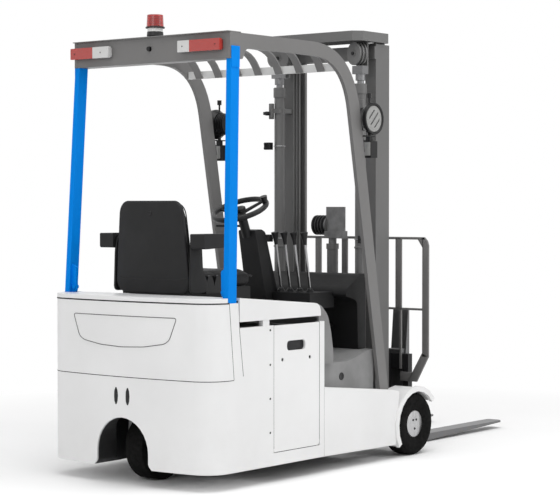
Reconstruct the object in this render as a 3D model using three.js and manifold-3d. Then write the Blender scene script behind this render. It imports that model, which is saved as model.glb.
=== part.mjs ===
// A three-wheel electric counterbalance forklift with a three-stage mast.
// Millimetres, +X towards the forks, +Y to the driver's left, +Z up, origin on the floor under the
// middle of the overall length. Every x below is measured from the front axle: one group shifts
// the whole truck to its origin.
import * as THREE from "three";
import { mergeVertices } from "three/addons/utils/BufferGeometryUtils.js";
import Module from "manifold-3d";

const wasm = await Module();
wasm.setup();

// ---------------------------------------------------------------- driving dimensions
const WHEELBASE = 1475; // front axle to drive axle
const REAR_OVERHANG = 243; // drive axle to the rearmost point of the shell
const FORK_FACE = 290; // front axle to the upright face of the forks
const FORK_LENGTH = 995;
const BODY_WIDTH = 1070;
const SILL_Z = 82; // underside of the body
const SEAM_Z = 515; // top of the counterweight's rear, under the tail cover
const SIDE_TOP_Z = 757; // top of the body's sides
const DECK_Z = 875; // underside of the deck's edge
const GUARD_Z = 2140; // top of the overhead guard
const MAST_Z = 2203; // top of the mast's rails
const MAST_WIDTH = BODY_WIDTH - 440;
const FRONT_WHEEL_R = 165;
const FRONT_TYRE_WIDTH = 118;
const DRIVE_WHEEL_R = 165;
const DRIVE_WHEEL_WIDTH = 120;
const FLOOR_Z = 536; // the driver's floor

const GAP = 0.3; // between pieces that touch
const SEAM = 3; // round the doors and the hood
const CLEAR = 5; // between pieces that move past each other
const PAD_GAP = 0.4; // at a mast's slide pads
const ARC = 5; // facets on a rounded corner
const ROUND = 32; // facets round a turned piece
const PIN_FACETS = 18; // round a pin, rod or tube

// ---------------------------------------------------------------- what follows from them
const HALF = BODY_WIDTH / 2;
const DRIVE_X = -WHEELBASE;
const REAR_X = DRIVE_X - REAR_OVERHANG;
const TIP_X = FORK_FACE + FORK_LENGTH;
const FRONT_AXLE_X = -(REAR_X + TIP_X) / 2; // where the front axle stands in the part's frame
const SKIN_IN = HALF - 12; // inner face of a door or a hood skirt
const WALL_IN = HALF - 30; // inner face of the body's side walls
const BAY_R = DRIVE_WHEEL_R + 30; // the bay that the drive wheel turns in
const BAY_FRONT_X = DRIVE_X + 249;
const DOOR_REAR_X = BAY_FRONT_X + SEAM;
const DOOR_FRONT_X = -860;
const SIDE_POST_X = -822; // front edge of the narrow post ahead of the door

// ---------------------------------------------------------------- solids
const ALONG_X = new THREE.Matrix4().set(0, 0, 1, 0, 1, 0, 0, 0, 0, 1, 0, 0, 0, 0, 0, 1);
const ALONG_Y = new THREE.Matrix4().set(1, 0, 0, 0, 0, 0, -1, 0, 0, 1, 0, 0, 0, 0, 0, 1);

// A closed geometry as a solid that can be joined and cut.
function solid(geometry) {
  const loose = geometry.index ? geometry.toNonIndexed() : geometry;
  const bare = new THREE.BufferGeometry();
  bare.setAttribute("position", loose.getAttribute("position"));
  const merged = mergeVertices(bare, 1e-4);
  const found = merged.index.array;
  const corners = [];
  for (let i = 0; i < found.length; i += 3) {
    const [a, b, c] = [found[i], found[i + 1], found[i + 2]];
    if (a !== b && b !== c && c !== a) corners.push(a, b, c);
  }
  return new wasm.Manifold(
    new wasm.Mesh({
      numProp: 3,
      vertProperties: merged.attributes.position.array,
      triVerts: new Uint32Array(corners),
    }),
  );
}

function join(first, ...rest) {
  return rest.reduce((whole, piece) => whole.add(piece), first);
}

function cut(body, ...tools) {
  return tools.reduce((left, tool) => left.subtract(tool), body);
}

// A closed outline through points [u, v, r]; r is how far from the corner its rounding starts.
function outline(points) {
  const shape = new THREE.Shape();
  const count = points.length;
  points.forEach(([u, v, r = 0], i) => {
    const corner = new THREE.Vector2(u, v);
    const towards = ([tu, tv]) => new THREE.Vector2(tu, tv).sub(corner).setLength(r).add(corner);
    const start = towards(points[(i + count - 1) % count]);
    const end = towards(points[(i + 1) % count]);
    if (i === 0) shape.moveTo(start.x, start.y);
    else shape.lineTo(start.x, start.y);
    if (r) shape.quadraticCurveTo(u, v, end.x, end.y);
  });
  shape.closePath();
  return shape;
}

function slab(shape, from, to, segments) {
  return new THREE.ExtrudeGeometry(shape, {
    depth: to - from,
    bevelEnabled: false,
    curveSegments: segments,
  });
}

// Plates cut to an outline: in Y and Z, in X and Z, and in X and Y.
function plateX(shape, from, to, segments = ARC) {
  return solid(slab(shape, from, to, segments).applyMatrix4(ALONG_X).translate(from, 0, 0));
}

function plateY(shape, from, to, segments = ARC) {
  const [low, high] = from < to ? [from, to] : [to, from];
  return solid(slab(shape, low, high, segments).applyMatrix4(ALONG_Y).translate(0, high, 0));
}

function plateZ(shape, from, to, segments = ARC) {
  return solid(slab(shape, from, to, segments).translate(0, 0, from));
}

function box([x0, x1], [y0, y1], [z0, z1]) {
  const block = new THREE.BoxGeometry(Math.abs(x1 - x0), Math.abs(y1 - y0), Math.abs(z1 - z0));
  return solid(block.translate((x0 + x1) / 2, (y0 + y1) / 2, (z0 + z1) / 2));
}

// A round bar between two points.
function bar(from, to, radius, facets = ROUND, endRadius = radius) {
  const a = new THREE.Vector3(...from);
  const b = new THREE.Vector3(...to);
  const along = b.clone().sub(a);
  const geometry = new THREE.CylinderGeometry(endRadius, radius, along.length(), facets);
  const turn = new THREE.Quaternion().setFromUnitVectors(
    new THREE.Vector3(0, 1, 0),
    along.clone().normalize(),
  );
  geometry.applyQuaternion(turn);
  geometry.translate(...a.add(b).multiplyScalar(0.5).toArray());
  return solid(geometry);
}

// A piece turned about the Y axis from a closed profile of [radius, y] points.
function turned(profile, facets = ROUND) {
  const points = profile.map(([r, y]) => new THREE.Vector2(r, y));
  if (THREE.ShapeUtils.isClockWise(points)) points.reverse();
  points.push(points[0].clone());
  return solid(new THREE.LatheGeometry(points, facets));
}

// ---------------------------------------------------------------- finishes and the scene graph
function finish(color, roughness, metalness = 0) {
  return new THREE.MeshStandardMaterial({ color, roughness, metalness });
}

const WHITE = finish(0xe9e9e7, 0.45);
const BLUE = finish(0x0a84e0, 0.4);
const GREY = finish(0x6f7072, 0.5);
const STEP_GREY = finish(0x8c8d8f, 0.55);
const BLACK = finish(0x1c1c1e, 0.6);
const CUSHION = finish(0x202022, 0.7);
const RUBBER = finish(0x161616, 0.85);
const HUB = finish(0xb4b5b6, 0.45, 0.4);
const CHROME = finish(0xc9cbcd, 0.2, 1);
const IRON = finish(0x2c2d2f, 0.6, 0.3);
const RED = finish(0xb3170f, 0.25);
const LENS = finish(0xd8432f, 0.2);

const truck = new THREE.Group();
truck.position.x = FRONT_AXLE_X;
const model = new THREE.Group();
model.add(truck);

function add(name, body, material, place = [0, 0, 0]) {
  const mesh = body.getMesh();
  const geometry = new THREE.BufferGeometry();
  geometry.setAttribute("position", new THREE.BufferAttribute(mesh.vertProperties, 3));
  geometry.setIndex(new THREE.BufferAttribute(mesh.triVerts, 1));
  geometry.computeVertexNormals();
  const piece = new THREE.Mesh(geometry, material);
  piece.name = name;
  piece.position.set(...place);
  truck.add(piece);
}

const SIDES = [
  ["left", 1],
  ["right", -1],
];

// ---------------------------------------------------------------- rear body
const CORNER_R = 130;
const BULGE_R = 3167; // the rear face is a shallow arc in plan

// The rear body in plan, set in by `inset`, from its rear face forward to x = front.
function planShape(front, inset = 0) {
  const side = HALF - inset;
  const cornerY = HALF - CORNER_R;
  const bulgeX = REAR_X + BULGE_R;
  const cornerX = bulgeX - Math.sqrt((BULGE_R - CORNER_R) ** 2 - cornerY ** 2);
  const swing = Math.asin(cornerY / (BULGE_R - CORNER_R));
  const shape = new THREE.Shape();
  shape.moveTo(front, -side);
  shape.lineTo(front, side);
  shape.lineTo(cornerX, side);
  shape.absarc(cornerX, cornerY, CORNER_R - inset, Math.PI / 2, Math.PI - swing, false);
  shape.absarc(bulgeX, 0, BULGE_R - inset, Math.PI - swing, Math.PI + swing, false);
  shape.absarc(cornerX, -cornerY, CORNER_R - inset, Math.PI + swing, 1.5 * Math.PI, false);
  shape.closePath();
  return shape;
}

// The corner posts of the casting lean: their rear and front edges at the deck and at the seam.
const POST_TOP_X = [REAR_X + 161, REAR_X + 226];
const POST_FOOT_X = [REAR_X + 195, REAR_X + 263];
const POST_IN = HALF - 65;
const WEB_Z = [350, 376]; // the plate that the drive unit hangs from
const ARCH_R = 166;
const ARCH_Z = 155;
const ARCH_FLARE = 22;
const VENT_Z = [380, 466];
const VENT_Y = 37.5;
const VENT_WIDTH = 27;
const TURNTABLE_R = 88;

function postShape(front) {
  return outline([
    [POST_FOOT_X[0], SEAM_Z - 1],
    [front, SEAM_Z - 1],
    [front, SIDE_TOP_Z],
    [POST_TOP_X[1] + 8, SIDE_TOP_Z],
    [POST_TOP_X[1], DECK_Z],
    [POST_TOP_X[0], DECK_Z],
  ]);
}

function counterweight() {
  let body = plateZ(planShape(BAY_FRONT_X), SILL_Z, SEAM_Z);
  const bay = join(
    bar([DRIVE_X, 0, 0], [DRIVE_X, 0, SEAM_Z + 1], BAY_R),
    box([DRIVE_X, BAY_FRONT_X + 1], [-BAY_R, BAY_R], [0, SEAM_Z + 1]),
  );
  const web = cut(
    plateZ(planShape(BAY_FRONT_X, 30), ...WEB_Z),
    bar([DRIVE_X, 0, 0], [DRIVE_X, 0, SEAM_Z], TURNTABLE_R + CLEAR),
  );
  body = join(cut(body, bay), web);
  for (const [, side] of SIDES) {
    const wall = plateY(postShape(BAY_FRONT_X), side * WALL_IN, side * HALF);
    const post = plateY(postShape(POST_TOP_X[1] + 8), side * POST_IN, side * (WALL_IN + 1));
    const rest = box(
      [BAY_FRONT_X - 78, BAY_FRONT_X - 30],
      [side * (WALL_IN + 2), side * (HALF - 3)],
      [SIDE_TOP_Z - 1, SIDE_TOP_Z + HOOD_GAP - GAP],
    );
    body = join(body, wall, post, rest);
    // The seam between the corner post and the side wall.
    const groove = outline([
      [POST_TOP_X[1] + 9, SIDE_TOP_Z + 1],
      [POST_TOP_X[1] + 6, SIDE_TOP_Z + 1],
      [POST_FOOT_X[1] - 1, SEAM_Z + 13],
      [POST_FOOT_X[1] + 2, SEAM_Z + 13],
    ]);
    body = cut(body, plateY(groove, side * (HALF - 5), side * (HALF + 1)));
  }
  const arch = outline([
    [-ARCH_R - ARCH_FLARE, SILL_Z - 1],
    [ARCH_R + ARCH_FLARE, SILL_Z - 1],
    [ARCH_R, SILL_Z + ARCH_FLARE, 12],
    [ARCH_R, ARCH_Z],
    ...archPoints(),
    [-ARCH_R, ARCH_Z],
    [-ARCH_R, SILL_Z + ARCH_FLARE, 12],
  ]);
  body = cut(body, plateX(arch, REAR_X - 1, DRIVE_X));
  for (const y of [-VENT_Y, VENT_Y]) {
    const vent = new THREE.Shape();
    const middle = (VENT_Z[0] + VENT_Z[1]) / 2;
    vent.absellipse(y, middle, VENT_WIDTH / 2, (VENT_Z[1] - VENT_Z[0]) / 2, 0, 2 * Math.PI);
    body = cut(body, plateX(vent, REAR_X - 1, DRIVE_X - BAY_R + 12));
  }
  return body;
}

function archPoints() {
  const points = [];
  const steps = 16;
  for (let i = 1; i < steps; i++) {
    const angle = (Math.PI * i) / steps;
    points.push([ARCH_R * Math.cos(angle), ARCH_Z + ARCH_R * Math.sin(angle)]);
  }
  return points;
}

const TAIL_WALL = 22;

function tailCover() {
  const front = POST_FOOT_X[0] + 5;
  const ring = cut(
    plateZ(planShape(front), SEAM_Z + GAP, DECK_Z - GAP),
    plateZ(planShape(front + 1, TAIL_WALL), SEAM_Z, DECK_Z),
  );
  // It ends at the leaning rear edge of the corner posts.
  const ahead = outline([
    [POST_FOOT_X[0] - GAP, SEAM_Z - 1],
    [front + 1, SEAM_Z - 1],
    [front + 1, DECK_Z + 1],
    [POST_TOP_X[0] - GAP, DECK_Z + 1],
  ]);
  return cut(ring, plateY(ahead, -HALF - 1, HALF + 1));
}

// The fixed deck behind the hood, over the tail cover.
function tailDeck() {
  const front = POST_TOP_X[0] - 7 - SEAM;
  const deck = plateZ(planShape(POST_TOP_X[1]), DECK_Z + GAP, HOOD_REAR_Z);
  return cut(deck, box([front, 0], [-HALF - 1, HALF + 1], [DECK_Z, HOOD_REAR_Z + 1]));
}

// ---------------------------------------------------------------- hood
const HOOD_GAP = 28; // the slot between the hood's skirt and the body's side
const HOOD_WALL = 12;
const HOOD_REAR_Z = 899;
const HOOD_FRONT_Z = 854;
const HOOD_SLOPE_X = -944; // where the hood's sloping top starts to turn down
const HOOD_FRONT_X = DOOR_FRONT_X + 10;
const SKIRT_Z = SIDE_TOP_Z + HOOD_GAP;
const SKIRT_REAR_X = POST_TOP_X[1] + 8 + SEAM;

// Height of the hood's top at x.
function hoodTop(x) {
  const rise = (HOOD_REAR_Z - HOOD_FRONT_Z) / (HOOD_SLOPE_X - POST_TOP_X[1]);
  return x < POST_TOP_X[1] ? HOOD_REAR_Z : HOOD_FRONT_Z + rise * (HOOD_SLOPE_X - x);
}

function hoodProfile(drop, rear, front) {
  return outline([
    [rear, DECK_Z + GAP],
    [SKIRT_REAR_X, DECK_Z + GAP],
    [SKIRT_REAR_X, SKIRT_Z],
    [front, SKIRT_Z],
    [front, hoodTop(front) - drop, 48],
    [POST_TOP_X[1], HOOD_REAR_Z - drop],
    [rear, HOOD_REAR_Z - drop],
  ]);
}

function hood() {
  const rear = POST_TOP_X[0] - 7;
  const outer = plateY(hoodProfile(0, rear, HOOD_FRONT_X), -HALF, HALF);
  const plan = plateZ(planShape(HOOD_FRONT_X + 1), SKIRT_Z - 1, HOOD_REAR_Z + 1);
  const inside = plateZ(planShape(HOOD_FRONT_X - HOOD_WALL, HOOD_WALL), SKIRT_Z - 2, HOOD_REAR_Z);
  const under = outline([
    [rear + HOOD_WALL, SKIRT_Z - 2],
    [HOOD_FRONT_X - HOOD_WALL, SKIRT_Z - 2],
    [HOOD_FRONT_X - HOOD_WALL, hoodTop(HOOD_FRONT_X) - HOOD_WALL, 40],
    [POST_TOP_X[1], HOOD_REAR_Z - HOOD_WALL],
    [rear + HOOD_WALL, HOOD_REAR_Z - HOOD_WALL],
  ]);
  const hollow = inside.intersect(plateY(under, -HALF, HALF));
  let body = cut(outer.intersect(plan), hollow);
  for (const [, side] of SIDES) {
    // Cut back round the corner post and the guard's post that stands on it.
    const notch = box(
      [rear - 1, SKIRT_REAR_X],
      [side * (POST_OUT - POST_WIDTH - POST_FOOT_IN - CLEAR - 1), side * (HALF + 1)],
      [SKIRT_Z, HOOD_REAR_Z + 2],
    );
    body = cut(body, notch);
  }
  return body;
}

// ---------------------------------------------------------------- doors and battery
const DOOR_TOP_Z = 755;
const DOOR_FOOT_Z = 143;
const HANDLE_X = [DOOR_FRONT_X - 263, DOOR_FRONT_X - 117];
const HANDLE_Z = [628, 676];
const LOCK_HOLE_R = 9;

function batteryDoor(side) {
  const [rear, front] = [DOOR_REAR_X, DOOR_FRONT_X - SEAM];
  const panel = outline([
    [rear, DOOR_FOOT_Z + SEAM],
    [front, DOOR_FOOT_Z + SEAM, 22],
    [front, DOOR_TOP_Z],
    [rear, DOOR_TOP_Z],
  ]);
  const corner = (HANDLE_Z[1] - HANDLE_Z[0]) / 2.2;
  const slot = outline([
    [HANDLE_X[0], HANDLE_Z[0], corner],
    [HANDLE_X[1], HANDLE_Z[0], corner],
    [HANDLE_X[1], HANDLE_Z[1], corner],
    [HANDLE_X[0], HANDLE_Z[1], corner],
  ]);
  let body = cut(
    plateY(panel, side * SKIN_IN, side * HALF),
    plateY(slot, side * (SKIN_IN - 1), side * (HALF + 1)),
  );
  for (const x of [HANDLE_X[0] - 35, HANDLE_X[1] + 37]) {
    const at = (y) => [x, side * y, HANDLE_Z[0] - 41];
    body = cut(body, bar(at(SKIN_IN - 1), at(HALF + 1), LOCK_HOLE_R, PIN_FACETS));
  }
  return body;
}

const TRAY_Z = [96, 122];
const BATTERY_HALF = HALF - 105;
const BATTERY_TOP_Z = 735;

function battery() {
  return box(
    [BAY_FRONT_X + 14, SIDE_POST_X - 8],
    [-BATTERY_HALF, BATTERY_HALF],
    [TRAY_Z[1] + GAP, BATTERY_TOP_Z],
  );
}

// ---------------------------------------------------------------- chassis and front fenders
const KNEE_X = -700; // front of the panel before the driver's knees
const ARM_IN = MAST_WIDTH / 2 + 20;
const ARM_OUT = ARM_IN + 55;
const FENDER_IN = HALF - 65;
const FENDER_TOP = [427, 373]; // its height at the post and behind the wheel
const FENDER_X = [SIDE_POST_X, -295];
const WHEEL_Y = HALF - 2; // outer face of the front tyre
const WHEEL_IN = WHEEL_Y - FRONT_TYRE_WIDTH;
const AXLE_R = 25;
const PIN_R = 22;
const LIP_Y = HALF + 8;
const WELL_R = FRONT_WHEEL_R + 18;
const WELL_WALL = 14;
const TILT_FOOT = [-620, 330]; // x, z of the tilt cylinders' rear pins
const TILT_Y = MAST_WIDTH / 2 - 109;
const TILT_PIN_R = 11;

function fenderTop(x) {
  const slope = (FENDER_TOP[1] - FENDER_TOP[0]) / (FENDER_X[1] - FENDER_X[0]);
  return FENDER_TOP[0] + slope * (x - FENDER_X[0]);
}

// A band round the front wheel between two radii, over part of a turn, as an outline in X and Z.
function wheelBand(inner, outer, from, to) {
  const shape = new THREE.Shape();
  shape.absarc(0, FRONT_WHEEL_R, outer, from, to, false);
  shape.absarc(0, FRONT_WHEEL_R, inner, to, from, true);
  shape.closePath();
  return shape;
}

const LIP_FROM = THREE.MathUtils.degToRad(38);
const LIP_TO = THREE.MathUtils.degToRad(212);

function sideBeam(side) {
  const sill = outline([
    [DOOR_REAR_X - SEAM + GAP, SILL_Z],
    [SIDE_POST_X, SILL_Z],
    [SIDE_POST_X, SIDE_TOP_Z],
    [DOOR_FRONT_X, SIDE_TOP_Z],
    [DOOR_FRONT_X, DOOR_FOOT_Z],
    [DOOR_REAR_X - SEAM + GAP, DOOR_FOOT_Z],
  ]);
  const fender = outline([
    [SIDE_POST_X - 1, SILL_Z],
    [-WELL_R - 12, SILL_Z - 8],
    [-WELL_R - 4, FRONT_WHEEL_R],
    [-WELL_R + 20, fenderTop(-WELL_R + 20) - 6],
    [-WELL_R - 40, fenderTop(-WELL_R - 40)],
    [FENDER_X[1], fenderTop(FENDER_X[1])],
    [SIDE_POST_X - 1, fenderTop(SIDE_POST_X)],
  ]);
  // The door closes against a strip that stands on the sill.
  const strip = box(
    [DOOR_REAR_X + 10, DOOR_FRONT_X + 1],
    [side * WALL_IN, side * (SKIN_IN - GAP)],
    [DOOR_FOOT_Z - 1, DOOR_FOOT_Z + 16],
  );
  const well = wheelBand(WELL_R, WELL_R + WELL_WALL, LIP_FROM, LIP_TO);
  const lip = wheelBand(WELL_R - 8, WELL_R + WELL_WALL + 7, LIP_FROM, LIP_TO);
  const wheelRoom = bar(
    [0, side * (ARM_OUT - 10), FRONT_WHEEL_R],
    [0, side * (HALF - 20), FRONT_WHEEL_R],
    WELL_R,
    64,
  );
  return join(
    plateY(sill, side * WALL_IN, side * HALF),
    strip,
    cut(plateY(fender, side * FENDER_IN, side * HALF), wheelRoom),
    plateY(well, side * (ARM_OUT + CLEAR), side * (HALF - 1)),
    plateY(lip, side * (HALF - 10), side * LIP_Y),
  );
}

function chassisFrame() {
  const tray = box([BAY_FRONT_X + GAP, -330], [-(FENDER_IN - GAP), FENDER_IN - GAP], TRAY_Z);
  const bulkhead = box(
    [KNEE_X - 32, KNEE_X - 22],
    [30 - FENDER_IN, FENDER_IN - 30],
    [TRAY_Z[1] - 1, FLOOR_Z - 10],
  );
  let body = join(tray, bulkhead);
  for (const [, side] of SIDES) {
    const arm = outline([
      [KNEE_X - 25, TRAY_Z[0]],
      [-120, TRAY_Z[0]],
      [62, TRAY_Z[0] + 20, 30],
      [62, FRONT_WHEEL_R + 55, 40],
      [-120, 262],
      [KNEE_X - 25, 300],
    ]);
    const at = (y) => [0, side * y, FRONT_WHEEL_R];
    body = join(
      body,
      plateY(arm, side * ARM_IN, side * ARM_OUT),
      bar(at(ARM_OUT - 1), at(WHEEL_Y - 22), AXLE_R, PIN_FACETS),
      bar(at(ARM_IN + 1), at(MAST_WIDTH / 2 - 10), PIN_R, PIN_FACETS),
    );
    // Two cheeks and a pin hold the foot of the tilt cylinder.
    for (const cheek of [TILT_Y - 34, TILT_Y + 22]) {
      const ear = outline([
        [KNEE_X - 23, TILT_FOOT[1] - 45],
        [TILT_FOOT[0] + 24, TILT_FOOT[1] - 24, 14],
        [TILT_FOOT[0] + 24, TILT_FOOT[1] + 24, 14],
        [KNEE_X - 23, TILT_FOOT[1] + 45],
      ]);
      body = join(body, plateY(ear, side * cheek, side * (cheek + 12)));
    }
    const pin = (y) => [TILT_FOOT[0], side * y, TILT_FOOT[1]];
    body = join(body, bar(pin(TILT_Y - 30), pin(TILT_Y + 30), TILT_PIN_R, PIN_FACETS));
  }
  return body;
}

// ---------------------------------------------------------------- driver's floor and dash
const FLOOR_T = 8;
const RAMP_X = [-540, -380];
const RAMP_Z = 580;
const COWL_FRONT_X = -285;
const STEP_Y = HALF - 55; // outer face of the step riser
const STEP_HOLE = [-604, 462];
const COWL_HALF = HALF - 133;
const COWL_TOP_Z = 975;

function floorLine(x) {
  if (x <= RAMP_X[0]) return FLOOR_Z;
  if (x >= RAMP_X[1]) return RAMP_Z;
  return FLOOR_Z + ((RAMP_Z - FLOOR_Z) * (x - RAMP_X[0])) / (RAMP_X[1] - RAMP_X[0]);
}

function floorStep() {
  const [rear, front] = [SIDE_POST_X + GAP, COWL_FRONT_X];
  const top = [
    [front, RAMP_Z],
    [RAMP_X[1], RAMP_Z, 20],
    [RAMP_X[0], FLOOR_Z, 40],
    [rear, FLOOR_Z],
  ];
  const underside = [...top].reverse().map(([x, z, r]) => [x, z - FLOOR_T, r]);
  const skin = plateY(outline([...underside, ...top]), -STEP_Y, STEP_Y);
  let body = skin;
  for (const [, side] of SIDES) {
    const riser = outline([
      [rear, fenderTop(rear) + GAP],
      [FENDER_X[1] - 30, fenderTop(FENDER_X[1] - 30) + GAP],
      [FENDER_X[1] - 30, RAMP_Z - 1],
      [RAMP_X[1], RAMP_Z - 1, 20],
      [RAMP_X[0], FLOOR_Z - 1, 40],
      [rear, FLOOR_Z - 1],
    ]);
    const hole = (y) => [STEP_HOLE[0], side * y, STEP_HOLE[1]];
    body = join(body, plateY(riser, side * (STEP_Y - FLOOR_T), side * STEP_Y));
    body = cut(body, bar(hole(STEP_Y - 20), hole(STEP_Y + 5), 11, PIN_FACETS));
  }
  return body;
}

function kneePanel() {
  const rear = SIDE_POST_X + GAP;
  const front = [
    [KNEE_X, FLOOR_Z + GAP],
    [KNEE_X, 600, 30],
    [KNEE_X - 21, 706, 30],
    [KNEE_X - 46, 782, 25],
    [KNEE_X - 100, 832, 15],
    [rear, 838],
    [rear, FLOOR_Z + GAP],
  ];
  const hollow = outline([
    [KNEE_X - 12, FLOOR_Z],
    [KNEE_X - 12, 600, 30],
    [KNEE_X - 33, 702, 30],
    [KNEE_X - 56, 772, 25],
    [KNEE_X - 104, 818, 10],
    [rear - 1, 825],
    [rear - 1, FLOOR_Z],
  ]);
  const half = STEP_Y + 20;
  return cut(plateY(outline(front), -half, half), plateY(hollow, 12 - half, half - 12));
}

function frontCowl() {
  const side = outline([
    [COWL_FRONT_X, RAMP_Z + GAP],
    [COWL_FRONT_X, COWL_TOP_Z, 12],
    [-330, COWL_TOP_Z - 4, 20],
    [-452, 900, 25],
    [-462, 862, 12],
    [-360, 835, 30],
    [-352, RAMP_Z + GAP],
  ]);
  return plateY(side, -COWL_HALF, COWL_HALF);
}

const COLUMN_FOOT = [-566, -30]; // x and y of the column's centre at the floor
const COLUMN_TOP = [-735, 0];
const COLUMN_TOP_Z = 1204;
const WHEEL_CENTRE = [-832, 0, 1309];
const WHEEL_TILT = THREE.MathUtils.degToRad(23);
const RIM_R = 140;
const RIM_TUBE = 14;

// Unit vector along the steering shaft, towards the driver.
const SHAFT = new THREE.Vector3(-Math.sin(WHEEL_TILT), 0, Math.cos(WHEEL_TILT));

function alongShaft(distance) {
  return SHAFT.clone()
    .multiplyScalar(distance)
    .add(new THREE.Vector3(...WHEEL_CENTRE))
    .toArray();
}

const SHAFT_LENGTH = 150;

function steeringColumn() {
  const lean = (COLUMN_TOP[0] - COLUMN_FOOT[0]) / (COLUMN_TOP_Z - FLOOR_Z);
  const footZ = FLOOR_Z - 2;
  const housing = outline([
    [COLUMN_FOOT[0] - 62, footZ],
    [COLUMN_FOOT[0] + 58, footZ + 6],
    [COLUMN_TOP[0] + 42, COLUMN_TOP_Z - 10, 14],
    [COLUMN_TOP[0] + 10 + lean * 6, COLUMN_TOP_Z + 4, 10],
    [COLUMN_TOP[0] - 44, COLUMN_TOP_Z - 2, 12],
  ]);
  const width = outline([
    [-78, footZ - 1],
    [78, footZ - 1],
    [54, COLUMN_TOP_Z + 20],
    [-54, COLUMN_TOP_Z + 20],
  ]);
  const body = plateY(housing, -90, 90).intersect(plateX(width, -800, -480));
  const neck = bar(alongShaft(-SHAFT_LENGTH), alongShaft(-52), 24, PIN_FACETS);
  const stalk = bar(
    [WHEEL_CENTRE[0] + 34, 10, WHEEL_CENTRE[2] - 84],
    [WHEEL_CENTRE[0] - 10, 150, WHEEL_CENTRE[2] - 84],
    6,
    12,
  );
  const floor = floorStep().translate([0, 0, GAP]);
  return cut(join(body, neck, stalk), floor);
}

function steeringWheel() {
  const rim = new THREE.TorusGeometry(RIM_R, RIM_TUBE, 10, ROUND);
  const spokes = [90, 210, 330].map((degrees) => {
    const angle = THREE.MathUtils.degToRad(degrees);
    const reach = [RIM_R * Math.cos(angle), RIM_R * Math.sin(angle), 0];
    return bar([0, 0, -22], reach, 10, 12, 7);
  });
  const hub = bar([0, 0, -51], [0, 0, 8], 30, 24, PIN_FACETS);
  const knobAngle = THREE.MathUtils.degToRad(300);
  const knobX = (RIM_R - 4) * Math.cos(knobAngle);
  const knobY = (RIM_R - 4) * Math.sin(knobAngle);
  const knob = bar([knobX, knobY, 4], [knobX, knobY, 46], 13, 16, 19);
  return join(solid(rim), ...spokes, hub, knob);
}

const LEVER_Y = [-86, -146, -209, -276];
const LEVER_FOOT = [-600, 884];
const LEVER_TOP = [-642, 1136];
const CONSOLE_TOP_Z = 882;

function controlLevers() {
  const console = box([-650, -440], [-71, -312], [800, CONSOLE_TOP_Z]);
  const boots = LEVER_Y.map((y) =>
    bar([LEVER_FOOT[0], y, CONSOLE_TOP_Z - 1], [LEVER_FOOT[0] - 2, y, 899], 14, 16, 11),
  );
  const rods = LEVER_Y.map((y) =>
    bar([LEVER_FOOT[0], y, CONSOLE_TOP_Z], [LEVER_TOP[0], y, LEVER_TOP[1]], 6, 12),
  );
  const knobs = LEVER_Y.map((y) =>
    bar([LEVER_TOP[0] + 1, y, LEVER_TOP[1] - 6], [LEVER_TOP[0] - 9, y, 1194], 9, 16, 15),
  );
  const nose = frontCowl().translate([-GAP, 0, 0]);
  return cut(join(console, ...boots, ...rods, ...knobs), nose);
}

function pedals() {
  const shaftX = -372;
  const shaftZ = 700;
  const shaft = bar([shaftX, -30, shaftZ], [shaftX, -250, shaftZ], 9, 16);
  const bracket = box([shaftX, -350], [-130, -150], [shaftZ - 12, shaftZ + 12]);
  const arms = [-55, -225].map((y) =>
    bar([shaftX, y, shaftZ], [shaftX - 62, y, shaftZ - 60], 7, 12),
  );
  const pads = [-55, -225].map((y) =>
    plateY(
      outline([
        [shaftX - 56, shaftZ - 22],
        [shaftX - 48, shaftZ - 28],
        [shaftX - 78, shaftZ - 104],
        [shaftX - 86, shaftZ - 98],
      ]),
      y - 35,
      y + 35,
    ),
  );
  return cut(join(shaft, bracket, ...arms, ...pads), frontCowl().translate([-GAP, 0, 0]));
}

// ---------------------------------------------------------------- overhead guard
const GUARD_HALF = HALF - 28;
const RAIL_WIDTH = 20;
const RAIL_IN = GUARD_HALF - RAIL_WIDTH;
const RAIL_DEPTH = 70;
const BEAM_X = [REAR_X + 202, REAR_X + 282];
const BEAM_Z = [GUARD_Z - 123, GUARD_Z];
const LIP_TOP_Z = GUARD_Z + 5;
const PILLAR_FOOT_X = [-301, -225];
const PILLAR_HEAD_X = [-618, -538];
const POST_WIDTH = 30;
const POST_OUT = HALF - 1; // outer face of the post at its foot
const POST_LEAN = (POST_OUT - GUARD_HALF - 1.5) / (BEAM_Z[0] - DECK_Z); // inwards, for each mm up
const POST_DEPTH = 59;
const POST_TAIL_X = REAR_X + 154;
const POST_HEAD_X = REAR_X + 208;
const POST_FOOT_IN = 28; // how far the post's foot tab stands inwards
const CROSSBAR_X = -676;
const CROSSBAR_Z = [GUARD_Z - 134, GUARD_Z - 94];
const SLAT_WIDTH = 45;
const SLAT_T = 8;
const SLAT_COUNT = 7;

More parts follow.
